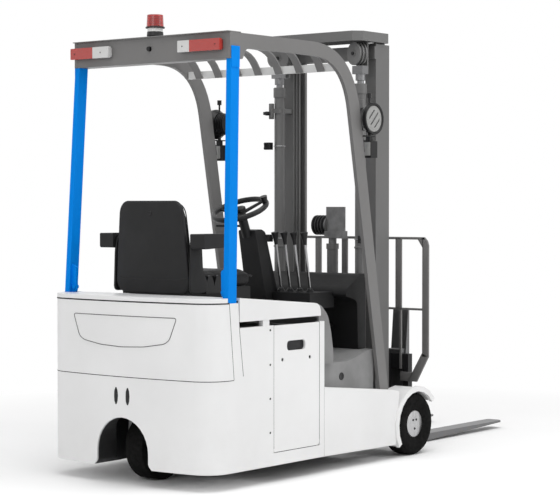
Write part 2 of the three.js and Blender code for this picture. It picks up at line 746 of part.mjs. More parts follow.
// It leans inwards from its foot; a plate on its head laps the outside of the rail.
function guardPost(side) {
  const leg = outline([
    [POST_TAIL_X, DECK_Z + GAP],
    [POST_TAIL_X + POST_DEPTH, DECK_Z + GAP],
    [POST_HEAD_X + POST_DEPTH, BEAM_Z[0] - GAP],
    [POST_HEAD_X, BEAM_Z[0] - GAP],
  ]);
  const inner = POST_OUT - POST_WIDTH;
  const tab = outline([
    [side * (inner + 1), DECK_Z + GAP],
    [side * (inner - 4), DECK_Z + 6],
    [side * (inner - POST_FOOT_IN), DECK_Z + 34],
    [side * (inner - POST_FOOT_IN), DECK_Z + 150, 6],
    [side * (inner + 1), DECK_Z + 162],
  ]);
  const tabX = POST_TAIL_X + 20;
  const at = (x) => [x, side * (inner - 16), DECK_Z + 50];
  const upright = join(
    plateY(leg, side * inner, side * POST_OUT),
    plateX(tab, tabX, tabX + 14),
    bar(at(tabX - 6), at(tabX + 22), 11, PIN_FACETS),
  );
  // y falls by the lean for each mm above the deck.
  const lean = side * POST_LEAN;
  const leaning = upright.transform([1, 0, 0, 0, 0, 1, 0, 0, 0, -lean, 1, 0, 0, lean * DECK_Z, 0, 1]);
  const lap = outline([
    [POST_HEAD_X, BEAM_Z[0] - 40],
    [POST_HEAD_X + POST_DEPTH - 2, BEAM_Z[0] - 40],
    [POST_HEAD_X + POST_DEPTH, GUARD_Z - 64, 4],
    [POST_HEAD_X, GUARD_Z - 64, 4],
  ]);
  return join(leaning, plateY(lap, side * (GUARD_HALF + GAP), side * (GUARD_HALF + 5)));
}

function guardRearBeam() {
  const half = RAIL_IN - GAP;
  const outer = box(BEAM_X, [-half, half], [BEAM_Z[0], BEAM_Z[1] + 1]);
  const inner = box(
    [BEAM_X[0] + 8, BEAM_X[1] - 8],
    [-half - 1, half + 1],
    [BEAM_Z[0] + 8, BEAM_Z[1] - 8],
  );
  const lip = box([BEAM_X[0] - 14, BEAM_X[1]], [-GUARD_HALF, GUARD_HALF], [GUARD_Z + GAP, LIP_TOP_Z]);
  const hole = bar([BEAM_X[0] - 1, 0, 2086], [BEAM_X[0] + 9, 0, 2086], 12, PIN_FACETS);
  return cut(join(cut(outer, inner), lip), hole);
}

function guardRail(side) {
  const foot = (x) => [x, fenderTop(x) + GAP];
  const shape = outline([
    [BEAM_X[0], GUARD_Z],
    [BEAM_X[0], BEAM_Z[0]],
    [BEAM_X[1] + 10, BEAM_Z[0], 8],
    [BEAM_X[1] + 40, GUARD_Z - RAIL_DEPTH, 20],
    [PILLAR_HEAD_X[0], GUARD_Z - RAIL_DEPTH, 260],
    foot(PILLAR_FOOT_X[0]),
    foot(PILLAR_FOOT_X[1]),
    [PILLAR_HEAD_X[1], GUARD_Z, 350],
  ]);
  return plateY(shape, side * RAIL_IN, side * GUARD_HALF, 14);
}

function guardGrille() {
  const turn = CROSSBAR_X - 115;
  const top = GUARD_Z - 10;
  const slat = outline([
    [BEAM_X[1] + GAP, top],
    [BEAM_X[1] + GAP, top - SLAT_T],
    [turn + 50, top - SLAT_T, 120],
    [CROSSBAR_X - SLAT_T, CROSSBAR_Z[0]],
    [CROSSBAR_X, CROSSBAR_Z[0]],
    [turn + 58, top, 124],
  ]);
  const pitch = (2 * RAIL_IN) / (SLAT_COUNT + 0.2);
  const slats = Array.from({ length: SLAT_COUNT }, (_, i) => {
    const y = (i - (SLAT_COUNT - 1) / 2) * pitch;
    return plateY(slat, y - SLAT_WIDTH / 2, y + SLAT_WIDTH / 2, 7);
  });
  const crossbar = box([CROSSBAR_X - 0.5, CROSSBAR_X + 8], [-RAIL_IN + GAP, RAIL_IN - GAP], CROSSBAR_Z);
  return join(crossbar, ...slats);
}

const BEACON_X = BEAM_X[0] + 40;

function beaconBase() {
  const at = (z) => [BEACON_X, 0, LIP_TOP_Z + z];
  return join(
    bar(at(GAP), at(6), 30, PIN_FACETS),
    bar(at(5), at(26), 41, ROUND, 39),
    bar(at(25), at(44), 37, ROUND),
    bar(at(43), at(50), 47, ROUND),
  );
}

function beaconLens() {
  const at = (z) => [BEACON_X, 0, LIP_TOP_Z + z];
  return bar(at(50 + GAP), at(108), 42, ROUND, 39);
}

const LAMP_Z = [GUARD_Z - 84, GUARD_Z - 29];
const LAMP_Y = { left: [HALF - 289, HALF - 30], right: [68 - HALF, 329 - HALF] };

function rearLamp([y0, y1]) {
  const back = box([BEAM_X[0] - 14, BEAM_X[0] - GAP], [y0 + 4, y1 - 4], [LAMP_Z[0] + 6, LAMP_Z[1] - 6]);
  const lens = outline([
    [y0, LAMP_Z[0], 5],
    [y1, LAMP_Z[0], 5],
    [y1, LAMP_Z[1], 5],
    [y0, LAMP_Z[1], 5],
  ]);
  return join(back, plateX(lens, BEAM_X[0] - 32, BEAM_X[0] - 13));
}

// A round lamp ahead of each pillar looks out to its side: a finned back, a wide rim and a lens.
const WORK_LAMP = [-398, 1776]; // x and z of its axis
const WORK_LAMP_R = 82;
const WORK_LAMP_BACK_R = 65;
const WORK_LAMP_DEPTH = 102;
const WORK_LAMP_FACE = HALF + 4; // outer face of its rim
const FIN_COUNT = 5;
const SHELF_Z = [1684, 1690];
const MARKER_X = [-418, -362];
const MARKER_Z = [1576, 1662];

// The pillar's front edge at a height.
function pillarFront(z) {
  const foot = fenderTop(PILLAR_FOOT_X[1]);
  return PILLAR_FOOT_X[1] + ((PILLAR_HEAD_X[1] - PILLAR_FOOT_X[1]) * (z - foot)) / (GUARD_Z - foot);
}

function workLamp(side) {
  const back = [[0.001, 0]];
  for (let i = 0; i < FIN_COUNT; i++) {
    const y = i * 11;
    back.push([WORK_LAMP_BACK_R - 8 + i, y], [WORK_LAMP_BACK_R - 8 + i, y + 6]);
    back.push([WORK_LAMP_BACK_R - 17, y + 6], [WORK_LAMP_BACK_R - 17, y + 11]);
  }
  const body = turned(
    [
      ...back,
      [WORK_LAMP_BACK_R, FIN_COUNT * 11],
      [WORK_LAMP_R - 6, WORK_LAMP_DEPTH - 24],
      [WORK_LAMP_R, WORK_LAMP_DEPTH - 18],
      [WORK_LAMP_R, WORK_LAMP_DEPTH],
      [WORK_LAMP_R - 9, WORK_LAMP_DEPTH],
      [WORK_LAMP_R - 13, WORK_LAMP_DEPTH - 6],
      [0.001, WORK_LAMP_DEPTH - 4],
    ],
    22,
  );
  const outwards = side > 0 ? body : body.mirror([0, 1, 0]);
  const [x, z] = WORK_LAMP;
  const drum = outwards.translate([x, side * (WORK_LAMP_FACE - WORK_LAMP_DEPTH), z]);
  const y = side * (WORK_LAMP_FACE - 34);
  const at = (height) => [x, y, height];
  const screw = bar(at(z + WORK_LAMP_R - 20), at(z + WORK_LAMP_R + 44), 5, 10);
  const thumb = bar(at(z + WORK_LAMP_R + 24), at(z + WORK_LAMP_R + 50), 12, 10);
  const stud = bar(at(SHELF_Z[0] + 1), at(z - WORK_LAMP_R + 20), 9, 12);
  // A strip on the pillar's front edge carries a shelf with the marker lamp under it.
  const wing = [side * (RAIL_IN + 1), side * (GUARD_HALF - 1)];
  const [low, high] = [MARKER_Z[0] + 30, SHELF_Z[1]];
  const strip = outline([
    [pillarFront(low) + GAP, low],
    [pillarFront(low) + 5, low],
    [pillarFront(high) + 5, high],
    [pillarFront(high) + GAP, high],
  ]);
  const shelf = box([pillarFront(high) + 2, MARKER_X[1] - 4], [y - 18, y + 18], SHELF_Z);
  const marker = box(MARKER_X, [y - 26, y + 26], MARKER_Z);
  const neck = box([x - 14, x + 14], [y - 12, y + 12], [MARKER_Z[1] - 1, SHELF_Z[0] + 1]);
  return join(drum, screw, thumb, stud, plateY(strip, ...wing), shelf, neck, marker);
}

// ---------------------------------------------------------------- seat
const SEAT_HALF = 238;
const SEAT_BACK_X = REAR_X + 203; // rear face of the backrest
const CUSHION_FRONT_X = Math.min(SEAT_BACK_X + 545, HOOD_FRONT_X - 110);

function seatBase() {
  const rear = SEAT_BACK_X + 30;
  const front = CUSHION_FRONT_X - 35;
  const shape = outline([
    [rear, hoodTop(rear) + GAP + 1],
    [front, hoodTop(front) + GAP + 1],
    [front, 930, 10],
    [rear, 930, 10],
  ]);
  const feet = box([rear + 90, front - 30], [-150, 150], [HOOD_FRONT_Z - 20, 910]);
  const half = SEAT_HALF - 28;
  const lowered = cut(join(plateY(shape, -half, half), feet), seatFloor());
  return lowered;
}

// Everything up to just above the hood's top, to trim what stands on it.
function seatFloor() {
  const shape = outline([
    [REAR_X, SKIRT_Z - 100],
    [HOOD_FRONT_X, SKIRT_Z - 100],
    [HOOD_FRONT_X, hoodTop(HOOD_FRONT_X) + GAP],
    [POST_TOP_X[1], HOOD_REAR_Z + GAP],
    [REAR_X, HOOD_REAR_Z + GAP],
  ]);
  return plateY(shape, -HALF, HALF);
}

function seatCushion() {
  const rear = SEAT_BACK_X + 84;
  const shape = outline([
    [rear, 930 + GAP],
    [CUSHION_FRONT_X, 930 + GAP, 25],
    [CUSHION_FRONT_X + 5, 1005, 38],
    [CUSHION_FRONT_X - 140, 1016],
    [rear, 1000],
  ]);
  return plateY(shape, -SEAT_HALF + 8, SEAT_HALF - 8);
}

function seatBack() {
  const side = outline([
    [SEAT_BACK_X + 10, 931],
    [SEAT_BACK_X + 82, 931],
    [SEAT_BACK_X + 84, 1040],
    [SEAT_BACK_X + 66, 1355, 26],
    [SEAT_BACK_X - 6, 1355, 20],
  ]);
  const face = outline([
    [-SEAT_HALF, 920],
    [SEAT_HALF, 920],
    [SEAT_HALF, 1010],
    [SEAT_HALF - 40, 1356, 55],
    [-SEAT_HALF + 40, 1356, 55],
    [-SEAT_HALF, 1010],
  ]);
  return plateY(side, -SEAT_HALF, SEAT_HALF).intersect(
    plateX(face, SEAT_BACK_X - 10, SEAT_BACK_X + 90),
  );
}

function armrest(side) {
  const rest = outline([
    [SEAT_BACK_X + 5, 1122, 14],
    [SEAT_BACK_X + 215, 1132, 22],
    [SEAT_BACK_X + 215, 1195, 18],
    [SEAT_BACK_X + 5, 1195, 8],
  ]);
  const pad = plateY(rest, side * (SEAT_HALF + 14), side * (SEAT_HALF + 104));
  const arm = bar(
    [SEAT_BACK_X + 52, side * (SEAT_HALF - 14), 1150],
    [SEAT_BACK_X + 52, side * (SEAT_HALF + 20), 1150],
    16,
    20,
  );
  return join(pad, arm);
}

// ---------------------------------------------------------------- drive unit
const FLANGE_R = 118;
const MOTOR_R = 100;
const GEARBOX_Y = [DRIVE_WHEEL_WIDTH / 2 + 7, DRIVE_WHEEL_WIDTH / 2 + 60];
const STUB_R = 30;

function driveBracket() {
  const top = DRIVE_WHEEL_R * 2 + 4.5;
  const yoke = box([-75, 75], [-40, GEARBOX_Y[1]], [top, top + 10]);
  const gearbox = outline([
    [-62, top + 1],
    [-70, 190, 20],
    [-34, 62, 26],
    [34, 62, 26],
    [70, 190, 20],
    [62, top + 1],
  ]);
  const foot = outline([
    [-20, 70],
    [-12, 42, 8],
    [12, 42, 8],
    [20, 70],
  ]);
  return join(
    yoke,
    plateY(gearbox, ...GEARBOX_Y),
    plateY(foot, GEARBOX_Y[0] + 8, GEARBOX_Y[0] + 26),
    bar([0, GEARBOX_Y[0] + 1, DRIVE_WHEEL_R], [0, 8, DRIVE_WHEEL_R], STUB_R, PIN_FACETS),
    bar([0, 0, top + 9], [0, 0, WEB_Z[1] + GAP + 1], TURNTABLE_R),
    bar([0, 0, WEB_Z[1] + GAP], [0, 0, WEB_Z[1] + 14], FLANGE_R),
  );
}

function driveMotor() {
  return join(
    bar([0, 0, WEB_Z[1] + 14 + GAP], [0, 0, 600], MOTOR_R),
    bar([0, 0, 599], [0, 0, 640], MOTOR_R - 18),
  );
}

function driveWheel() {
  const half = DRIVE_WHEEL_WIDTH / 2;
  const shoulder = 16;
  return turned([
    [0.001, -half + 6],
    [70, -half + 6],
    [76, -half],
    [DRIVE_WHEEL_R - shoulder, -half],
    [DRIVE_WHEEL_R - 4, -half + 6],
    [DRIVE_WHEEL_R, -half + shoulder],
    [DRIVE_WHEEL_R, half - shoulder],
    [DRIVE_WHEEL_R - 4, half - 6],
    [DRIVE_WHEEL_R - shoulder, half],
    [76, half],
    [70, half - 6],
    [STUB_R + 0.6, half - 6],
    [STUB_R + 0.6, 7],
    [0.001, 7],
  ]);
}

// ---------------------------------------------------------------- front wheels
const HUB_R = 72;
const RIM_DISH = 14;

function frontTyre() {
  const half = FRONT_TYRE_WIDTH / 2;
  return turned([
    [HUB_R + GAP, -half + RIM_DISH],
    [HUB_R + 14, -half + 5],
    [FRONT_WHEEL_R - 34, -half],
    [FRONT_WHEEL_R - 12, -half + 5],
    [FRONT_WHEEL_R, -half + 20],
    [FRONT_WHEEL_R, half - 20],
    [FRONT_WHEEL_R - 12, half - 5],
    [FRONT_WHEEL_R - 34, half],
    [HUB_R + 14, half - 5],
    [HUB_R + GAP, half - RIM_DISH],
  ]);
}

// The hub's closed face is outboard, at +y before it is turned to its side.
function frontHub() {
  const half = FRONT_TYRE_WIDTH / 2;
  const bore = AXLE_R + 0.6;
  return turned([
    [bore, -half + 6],
    [HUB_R, -half + 6],
    [HUB_R, half - RIM_DISH],
    [HUB_R - 5, half - RIM_DISH + 3],
    [0.001, half - RIM_DISH + 3],
    [0.001, half - 21],
    [bore, half - 21],
  ]);
}

// ---------------------------------------------------------------- mast
// Three C-shaped rails nest in each other; each stage is CLEAR inside the one before.
const MAST_X = [-70, 55];
const MAST_FOOT_Z = 78;
const WEB_T = 12;
const FLANGE = 70; // how far the outer rail's flanges reach inwards
const FLANGE_T = [12, 10, 10];
const STAGE_TOP_Z = [MAST_Z - 8, MAST_Z - GAP, MAST_Z - 20];
const STAGE_FOOT_Z = [MAST_FOOT_Z, MAST_FOOT_Z + 8, MAST_FOOT_Z + 16];
const TIE_T = 12;
const TIE_REAR_X = [MAST_X[0] - TIE_T, MAST_X[0] + CLEAR, MAST_X[0] + CLEAR + TIE_T + CLEAR];

// Rail sections from the outside in: x range, outer face, inner reach.
const RAILS = [0, 1, 2].map((stage) => {
  const inset = [0, 1, 2].slice(0, stage).reduce((sum, i) => sum + FLANGE_T[i] + CLEAR, 0);
  const outer = MAST_WIDTH / 2 - stage * (WEB_T + CLEAR);
  return {
    x: [MAST_X[0] + inset, MAST_X[1] - inset],
    outer,
    reach: MAST_WIDTH / 2 - FLANGE - stage * 9,
    flange: FLANGE_T[stage],
  };
});

function railShape(rail, side) {
  const [x0, x1] = rail.x;
  const web = rail.outer - WEB_T;
  const points = [
    [x0, rail.outer],
    [x0, rail.reach],
    [x0 + rail.flange, rail.reach],
    [x0 + rail.flange, web],
    [x1 - rail.flange, web],
    [x1 - rail.flange, rail.reach],
    [x1, rail.reach],
    [x1, rail.outer],
  ];
  return outline(points.map(([x, y]) => [x, side * y]));
}

function railPair(stage) {
  const rail = RAILS[stage];
  return SIDES.map(([, side]) =>
    plateZ(railShape(rail, side), STAGE_FOOT_Z[stage], STAGE_TOP_Z[stage]),
  );
}

function tie(stage, z) {
  const rail = RAILS[stage];
  const x = TIE_REAR_X[stage];
  const half = stage === 0 ? rail.outer : RAILS[stage - 1].reach - CLEAR;
  return box([x, Math.max(x + TIE_T, rail.x[0] + 0.5)], [-half, half], z);
}

// Slide pads on the outside of a rail run on the web of the rail around it.
function pads(stage) {
  const rail = RAILS[stage];
  const web = RAILS[stage - 1].outer - WEB_T;
  const middle = (rail.x[0] + rail.x[1]) / 2;
  return SIDES.flatMap(([, side]) =>
    [STAGE_FOOT_Z[stage] + 60, STAGE_FOOT_Z[stage] + 560].map((z) =>
      box([middle - 18, middle + 18], [side * (rail.outer - 1), side * (web - PAD_GAP)], [z, z + 60]),
    ),
  );
}

const TILT_EYE = [-116, 430]; // x, z of the pins that the tilt rods hold

function outerMast() {
  const pivots = SIDES.map(([, side]) => {
    const at = (y) => [0, side * y, FRONT_WHEEL_R];
    return bar(at(MAST_WIDTH / 2 + 1), at(MAST_WIDTH / 2 - WEB_T - 1), PIN_R + 0.5, PIN_FACETS);
  });
  const lugs = SIDES.flatMap(([, side]) =>
    [TILT_Y - 34, TILT_Y + 22].map((y) => {
      const ear = outline([
        [MAST_X[0] - TIE_T + 1, TILT_EYE[1] - 42],
        [MAST_X[0] - TIE_T + 1, TILT_EYE[1] + 42],
        [TILT_EYE[0] - 20, TILT_EYE[1] + 20, 14],
        [TILT_EYE[0] - 20, TILT_EYE[1] - 20, 14],
      ]);
      return plateY(ear, side * y, side * (y + 12));
    }),
  );
  const lugPlates = SIDES.map(([, side]) =>
    box(
      [MAST_X[0] - TIE_T, MAST_X[0] + 0.5],
      [side * (TILT_Y - 34), side * (MAST_WIDTH / 2 - 12)],
      [TILT_EYE[1] - 50, TILT_EYE[1] + 50],
    ),
  );
  const pins = SIDES.map(([, side]) => {
    const at = (y) => [TILT_EYE[0], side * y, TILT_EYE[1]];
    return bar(at(TILT_Y - 30), at(TILT_Y + 30), TILT_PIN_R, PIN_FACETS);
  });
  const frame = join(...railPair(0), tie(0, [110, 230]), tie(0, [MAST_Z - 88, MAST_Z - 20]));
  return cut(join(frame, ...lugPlates, ...lugs, ...pins), ...pivots);
}

function middleMast() {
  return join(
    ...railPair(1),
    ...pads(1),
    tie(1, [100, 200]),
    tie(1, [MAST_Z - 75, MAST_Z - 15]),
  );
}

function innerMast() {
  const foot = box([TIE_REAR_X[2], 22], [-60, 90], [104, 124]);
  return join(
    ...railPair(2),
    ...pads(2),
    tie(2, [110, 190]),
    tie(2, [MAST_Z - 90, MAST_Z - 34]),
    foot,
  );
}

// Lift cylinders behind the outer rails; their rods carry the crosshead.
const LIFT_X = -155;
const LIFT_Y = MAST_WIDTH / 2 - 40;
const LIFT_R = 29;
const LIFT_ROD_R = 18;
const LIFT_TOP_Z = MAST_Z - 243;
const ROD_ENGAGED = 420; // height of the rod's lower end
const YOKE_Z = [MAST_Z - 173, MAST_Z - 129];

function hollowBar(x, y, z0, z1, outer, inner) {
  return cut(bar([x, y, z0], [x, y, z1], outer, PIN_FACETS), bar([x, y, z0 + 20], [x, y, z1 + 1], inner, PIN_FACETS));
}

function liftCylinder(side) {
  const y = side * LIFT_Y;
  const barrel = hollowBar(LIFT_X, y, 84, LIFT_TOP_Z - 1, LIFT_R, LIFT_ROD_R + CLEAR);
  const gland = cut(
    bar([LIFT_X, y, LIFT_TOP_Z - 34], [LIFT_X, y, LIFT_TOP_Z + 18], LIFT_R + 5, PIN_FACETS),
    bar([LIFT_X, y, LIFT_TOP_Z - 40], [LIFT_X, y, LIFT_TOP_Z + 20], LIFT_ROD_R + 0.6, PIN_FACETS),
  );
  const brackets = [
    [84, 107],
    [LIFT_TOP_Z - 120, LIFT_TOP_Z - 96],
  ].map((z) => {
    const block = box([LIFT_X - LIFT_R - 6, MAST_X[0] - TIE_T - GAP], [y - 22, y + 22], z);
    const reach = box([MAST_X[0] - TIE_T - 6, MAST_X[0] - GAP], [y - 22, y + 22], z);
    return join(block, reach);
  });
  const room = bar([LIFT_X, y, 112], [LIFT_X, y, LIFT_TOP_Z - 30], LIFT_ROD_R + CLEAR, PIN_FACETS);
  return cut(join(barrel, ...brackets), room).add(gland);
}

function liftRod(side) {
  const y = side * LIFT_Y;
  const rod = bar([LIFT_X, y, ROD_ENGAGED], [LIFT_X, y, YOKE_Z[0] + 1], LIFT_ROD_R, PIN_FACETS);
  const collar = bar([LIFT_X, y, YOKE_Z[0] - 34], [LIFT_X, y, YOKE_Z[0] + 1], LIFT_ROD_R + 9, PIN_FACETS);
  const yoke = box([LIFT_X - 30, LIFT_X + 24], [y - 34, y + 34], YOKE_Z);
  return join(rod, collar, yoke);
}

const CAP_Z = [MAST_Z, MAST_Z + 52];
const CAP_HALF = MAST_WIDTH / 2 + 15;
const CAP_REAR_X = -250;
const CAP_FRONT_X = 33;
const CAP_WALL = 10;
const SHEAVE_R = 62;
const SHEAVE_T = 48;
const SHEAVE = [LIFT_X - 16, LIFT_Y - 10, MAST_Z - 64];
const SHEAVE_TURN = THREE.MathUtils.degToRad(20);
const HANGER_X = [LIFT_X + 24 + GAP, LIFT_X + 36];

// The cap in plan: a bridge behind the rails with two cheeks that sit on the middle rails.
function capShape(inset) {
  const half = CAP_HALF - inset;
  const cheek = RAILS[2].outer + CLEAR + 1 + inset;
  const bridge = TIE_REAR_X[1] - CLEAR - inset;
  const chamfer = 42;
  return outline([
    [CAP_FRONT_X - inset, -half, 14 - inset],
    [CAP_FRONT_X - inset, -cheek],
    [bridge, -cheek],
    [bridge, cheek],
    [CAP_FRONT_X - inset, cheek],
    [CAP_FRONT_X - inset, half, 14 - inset],
    [CAP_REAR_X + chamfer + inset, half],
    [CAP_REAR_X + inset, half - chamfer],
    [CAP_REAR_X + inset, chamfer - half],
    [CAP_REAR_X + chamfer + inset, -half],
  ]);
}

function liftCrosshead() {
  const shell = cut(
    plateZ(capShape(0), ...CAP_Z),
    plateZ(capShape(CAP_WALL), CAP_Z[0] - 1, CAP_Z[1] - CAP_WALL).intersect(
      box([CAP_REAR_X, TIE_REAR_X[1] - CLEAR - CAP_WALL], [-CAP_HALF, CAP_HALF], [0, CAP_Z[1]]),
    ),
  );
  const hangers = SIDES.flatMap(([, side]) => {
    const y = side * SHEAVE[1];
    const plate = box(HANGER_X, [y - 36, y + 36], [YOKE_Z[0] + 4, CAP_Z[1] - 4]);
    const axis = new THREE.Vector3(Math.cos(SHEAVE_TURN), side * Math.sin(SHEAVE_TURN), 0);
    const centre = new THREE.Vector3(SHEAVE[0], y, SHEAVE[2]);
    const at = (d) => axis.clone().multiplyScalar(d).add(centre).toArray();
    const rims = [-SHEAVE_T / 2, -4, SHEAVE_T / 2 - 8].map((d) => bar(at(d), at(d + 8), SHEAVE_R, ROUND - 8));
    const core = bar(at(-SHEAVE_T / 2 + 2), at(SHEAVE_T / 2 - 2), SHEAVE_R - 9, ROUND - 8);
    const axle = bar(at(-SHEAVE_T / 2 - 3), at(HANGER_X[1] - SHEAVE[0]), 14, PIN_FACETS);
    return [plate, ...rims, core, axle];
  });
  return join(shell, ...hangers);
}

// Free-lift cylinder: it stands on the inner mast's foot and lifts the carriage by its chains.
const FREE_X = -4;
const FREE_Y = 22;
const FREE_R = 31;
const FREE_ROD_R = 22;
const FREE_TOP_Z = MAST_Z - 1082;
const HEAD_Z = [FREE_TOP_Z + 29, FREE_TOP_Z + 202];
const REEL_X = FREE_X + 14; // the hose reels stand clear of the middle mast's ties
const REEL_R = 55;

function freeLiftCylinder() {
  const tube = hollowBar(FREE_X, FREE_Y, 124 + GAP, FREE_TOP_Z - 20, FREE_R, FREE_ROD_R + CLEAR);
  const gland = cut(
    bar([FREE_X, FREE_Y, FREE_TOP_Z - 30], [FREE_X, FREE_Y, FREE_TOP_Z], FREE_R + 4, PIN_FACETS),
    bar([FREE_X, FREE_Y, FREE_TOP_Z - 32], [FREE_X, FREE_Y, FREE_TOP_Z + 1], FREE_ROD_R + 0.6, PIN_FACETS),
  );
  return cut(tube, bar([FREE_X, FREE_Y, FREE_TOP_Z - 29], [FREE_X, FREE_Y, FREE_TOP_Z], 26, PIN_FACETS)).add(
    gland,
  );
}

function freeLiftHead() {
  const at = (y, z) => [FREE_X, y, z];
  const rod = bar(at(FREE_Y, 480), at(FREE_Y, HEAD_Z[0] + 1), FREE_ROD_R, PIN_FACETS);
  const block = box([FREE_X - 24, FREE_X + 24], [-62, 62], [HEAD_Z[0], HEAD_Z[0] + 40]);
  const plate = box([FREE_X - 6, FREE_X + 6], [-62, 62], [HEAD_Z[0] + 39, HEAD_Z[1]]);
  const middle = HEAD_Z[0] + 72;
  const reelAt = (y) => [REEL_X, y, middle];
  const reels = [72, 92, 112, 132].map((y) => bar(reelAt(y), reelAt(y + 9), REEL_R, ROUND - 8));
  const core = bar(reelAt(56), reelAt(140), REEL_R - 11, ROUND - 8);
  const axle = bar(reelAt(-20), reelAt(150), 12, PIN_FACETS);
  return join(rod, block, plate, ...reels, core, axle);
}

// ---------------------------------------------------------------- tilt cylinders
const TILT_R = 30;
const TILT_ROD_R = 15;

// A point so far along the line from the tilt cylinder's foot pin to its rod's eye.
function alongTilt(side, distance) {
  const [fx, fz] = TILT_FOOT;
  const [ex, ez] = TILT_EYE;
  const length = Math.hypot(ex - fx, ez - fz);
  const share = distance / length;
  return [fx + (ex - fx) * share, side * TILT_Y, fz + (ez - fz) * share];
}

const TILT_LENGTH = Math.hypot(TILT_EYE[0] - TILT_FOOT[0], TILT_EYE[1] - TILT_FOOT[1]);

function ringAt([x, , z], side, halfWidth, outer, inner) {
  const at = (y) => [x, side * y, z];
  return cut(
    bar(at(TILT_Y - halfWidth), at(TILT_Y + halfWidth), outer, PIN_FACETS),
    bar(at(TILT_Y - halfWidth - 1), at(TILT_Y + halfWidth + 1), inner, PIN_FACETS),
  );
}

function tiltBarrel(side) {
  const p = (d) => alongTilt(side, d);
  const end = TILT_LENGTH - 190;
  const barrel = cut(
    bar(p(34), p(end), TILT_R, PIN_FACETS),
    bar(p(60), p(end - 18), TILT_ROD_R + CLEAR, PIN_FACETS),
    bar(p(60), p(end + 1), TILT_ROD_R + 0.6, PIN_FACETS),
  );
  const eyeHole = bar(
    [TILT_FOOT[0], side * (TILT_Y - 40), TILT_FOOT[1]],
    [TILT_FOOT[0], side * (TILT_Y + 40), TILT_FOOT[1]],
    TILT_PIN_R + 0.6,
    24,
  );
  const neck = bar(p(8), p(40), 15, PIN_FACETS);
  return cut(join(barrel, neck, ringAt(p(0), side, 16, 24, TILT_PIN_R + 0.6)), eyeHole);
}

function tiltRod(side) {
  const p = (d) => alongTilt(side, d);
  const eyeHole = bar(
    [TILT_EYE[0], side * (TILT_Y - 40), TILT_EYE[1]],
    [TILT_EYE[0], side * (TILT_Y + 40), TILT_EYE[1]],
    TILT_PIN_R + 2.5,
    24,
  );
  const rod = bar(p(150), p(TILT_LENGTH - 16), TILT_ROD_R, PIN_FACETS);
  return cut(join(rod, ringAt(p(TILT_LENGTH), side, 16, 25, TILT_PIN_R + 2.5)), eyeHole);
}

// ---------------------------------------------------------------- carriage, backrest and forks
const FORK_T = 38;
const FORK_WIDTH = 100;
const FORK_Y = 240; // centre of each fork
const FORK_FLOOR_GAP = 8;
const SHANK_TOP_Z = 760;
const CARRIAGE_HALF = MAST_WIDTH / 2 + 20;
const SHANK_X = FORK_FACE - FORK_T;
const BAR_X = [SHANK_X - 40, SHANK_X - GAP];
const UPPER_BAR_Z = [432, 514];
const LOWER_BAR_Z = [132, 214];
const BACKREST_X = [BAR_X[0] - 12 - GAP, BAR_X[0] - GAP];
const CHEEK_Y = [RAILS[2].reach - 20, RAILS[2].reach - 6];

function carriage() {
  const bars = [UPPER_BAR_Z, LOWER_BAR_Z].map((z) => box(BAR_X, [-CARRIAGE_HALF, CARRIAGE_HALF], z));
  const cheeks = SIDES.flatMap(([, side]) => {
    const end = box(
      BAR_X,
      [side * (CARRIAGE_HALF - 34), side * CARRIAGE_HALF],
      [LOWER_BAR_Z[1] - 1, UPPER_BAR_Z[0] + 1],
    );
    const cheek = outline([
      [BAR_X[0] + 1, LOWER_BAR_Z[0]],
      [-30, LOWER_BAR_Z[0] + 20, 12],
      [-30, 560, 20],
      [60, 560, 30],
      [BAR_X[0] + 1, UPPER_BAR_Z[1]],
    ]);
    const side2 = plateY(cheek, side * CHEEK_Y[0], side * CHEEK_Y[1]);
    const rail = RAILS[2];
    const middle = (rail.x[0] + rail.x[1]) / 2;
    const roller = (rail.x[1] - rail.x[0]) / 2 - rail.flange - PAD_GAP;
    const rollers = [200, 510].map((z) =>
      bar(
        [middle, side * (CHEEK_Y[1] - 2), z],
        [middle, side * (rail.outer - WEB_T - PAD_GAP), z],
        roller,
        24,
      ),
    );
    return [end, side2, ...rollers];
  });
  return join(...bars, ...cheeks);
}

const BACKREST_HALF = CARRIAGE_HALF + 139;
const BACKREST_TOP_Z = 1158;
const BAR_WIDTH = 55;
const MID_BAR_Z = [757, 769];
const INNER_BAR_Y = [CARRIAGE_HALF - 78, CARRIAGE_HALF - 39];
const CENTRE_BAR_Y = [72, 110];

function loadBackrest() {
  const knee = 505;
  const foot = 366;
  const half = BACKREST_HALF;
  const inner = half - BAR_WIDTH;
  const frame = outline([
    [-half, knee],
    [-half, BACKREST_TOP_Z, 48],
    [half, BACKREST_TOP_Z, 48],
    [half, knee],
    [CARRIAGE_HALF + 63, foot],
    [CARRIAGE_HALF - 45, foot],
    [CARRIAGE_HALF - 45, foot + 50],
    [CARRIAGE_HALF + 10, foot + 50],
    [inner, knee + 20],
    [inner, BACKREST_TOP_Z - 50, 20],
    [-inner, BACKREST_TOP_Z - 50, 20],
    [-inner, knee + 20],
    [-CARRIAGE_HALF - 10, foot + 50],
    [45 - CARRIAGE_HALF, foot + 50],
    [45 - CARRIAGE_HALF, foot],
    [-CARRIAGE_HALF - 63, foot],
  ]);
  const bars = SIDES.flatMap(([, side]) => [
    box(BACKREST_X, INNER_BAR_Y.map((y) => side * y), [MID_BAR_Z[0] + 1, BACKREST_TOP_Z - 49]),
    box(BACKREST_X, CENTRE_BAR_Y.map((y) => side * y), [MID_BAR_Z[0] + 1, BACKREST_TOP_Z - 49]),
    box(BACKREST_X, [side * (CARRIAGE_HALF - 51), side * (CARRIAGE_HALF - 39)], [UPPER_BAR_Z[0], MID_BAR_Z[1]]),
  ]);
  const mid = box(BACKREST_X, [-inner - 1, inner + 1], MID_BAR_Z);
  return join(plateX(frame, ...BACKREST_X), mid, ...bars);
}

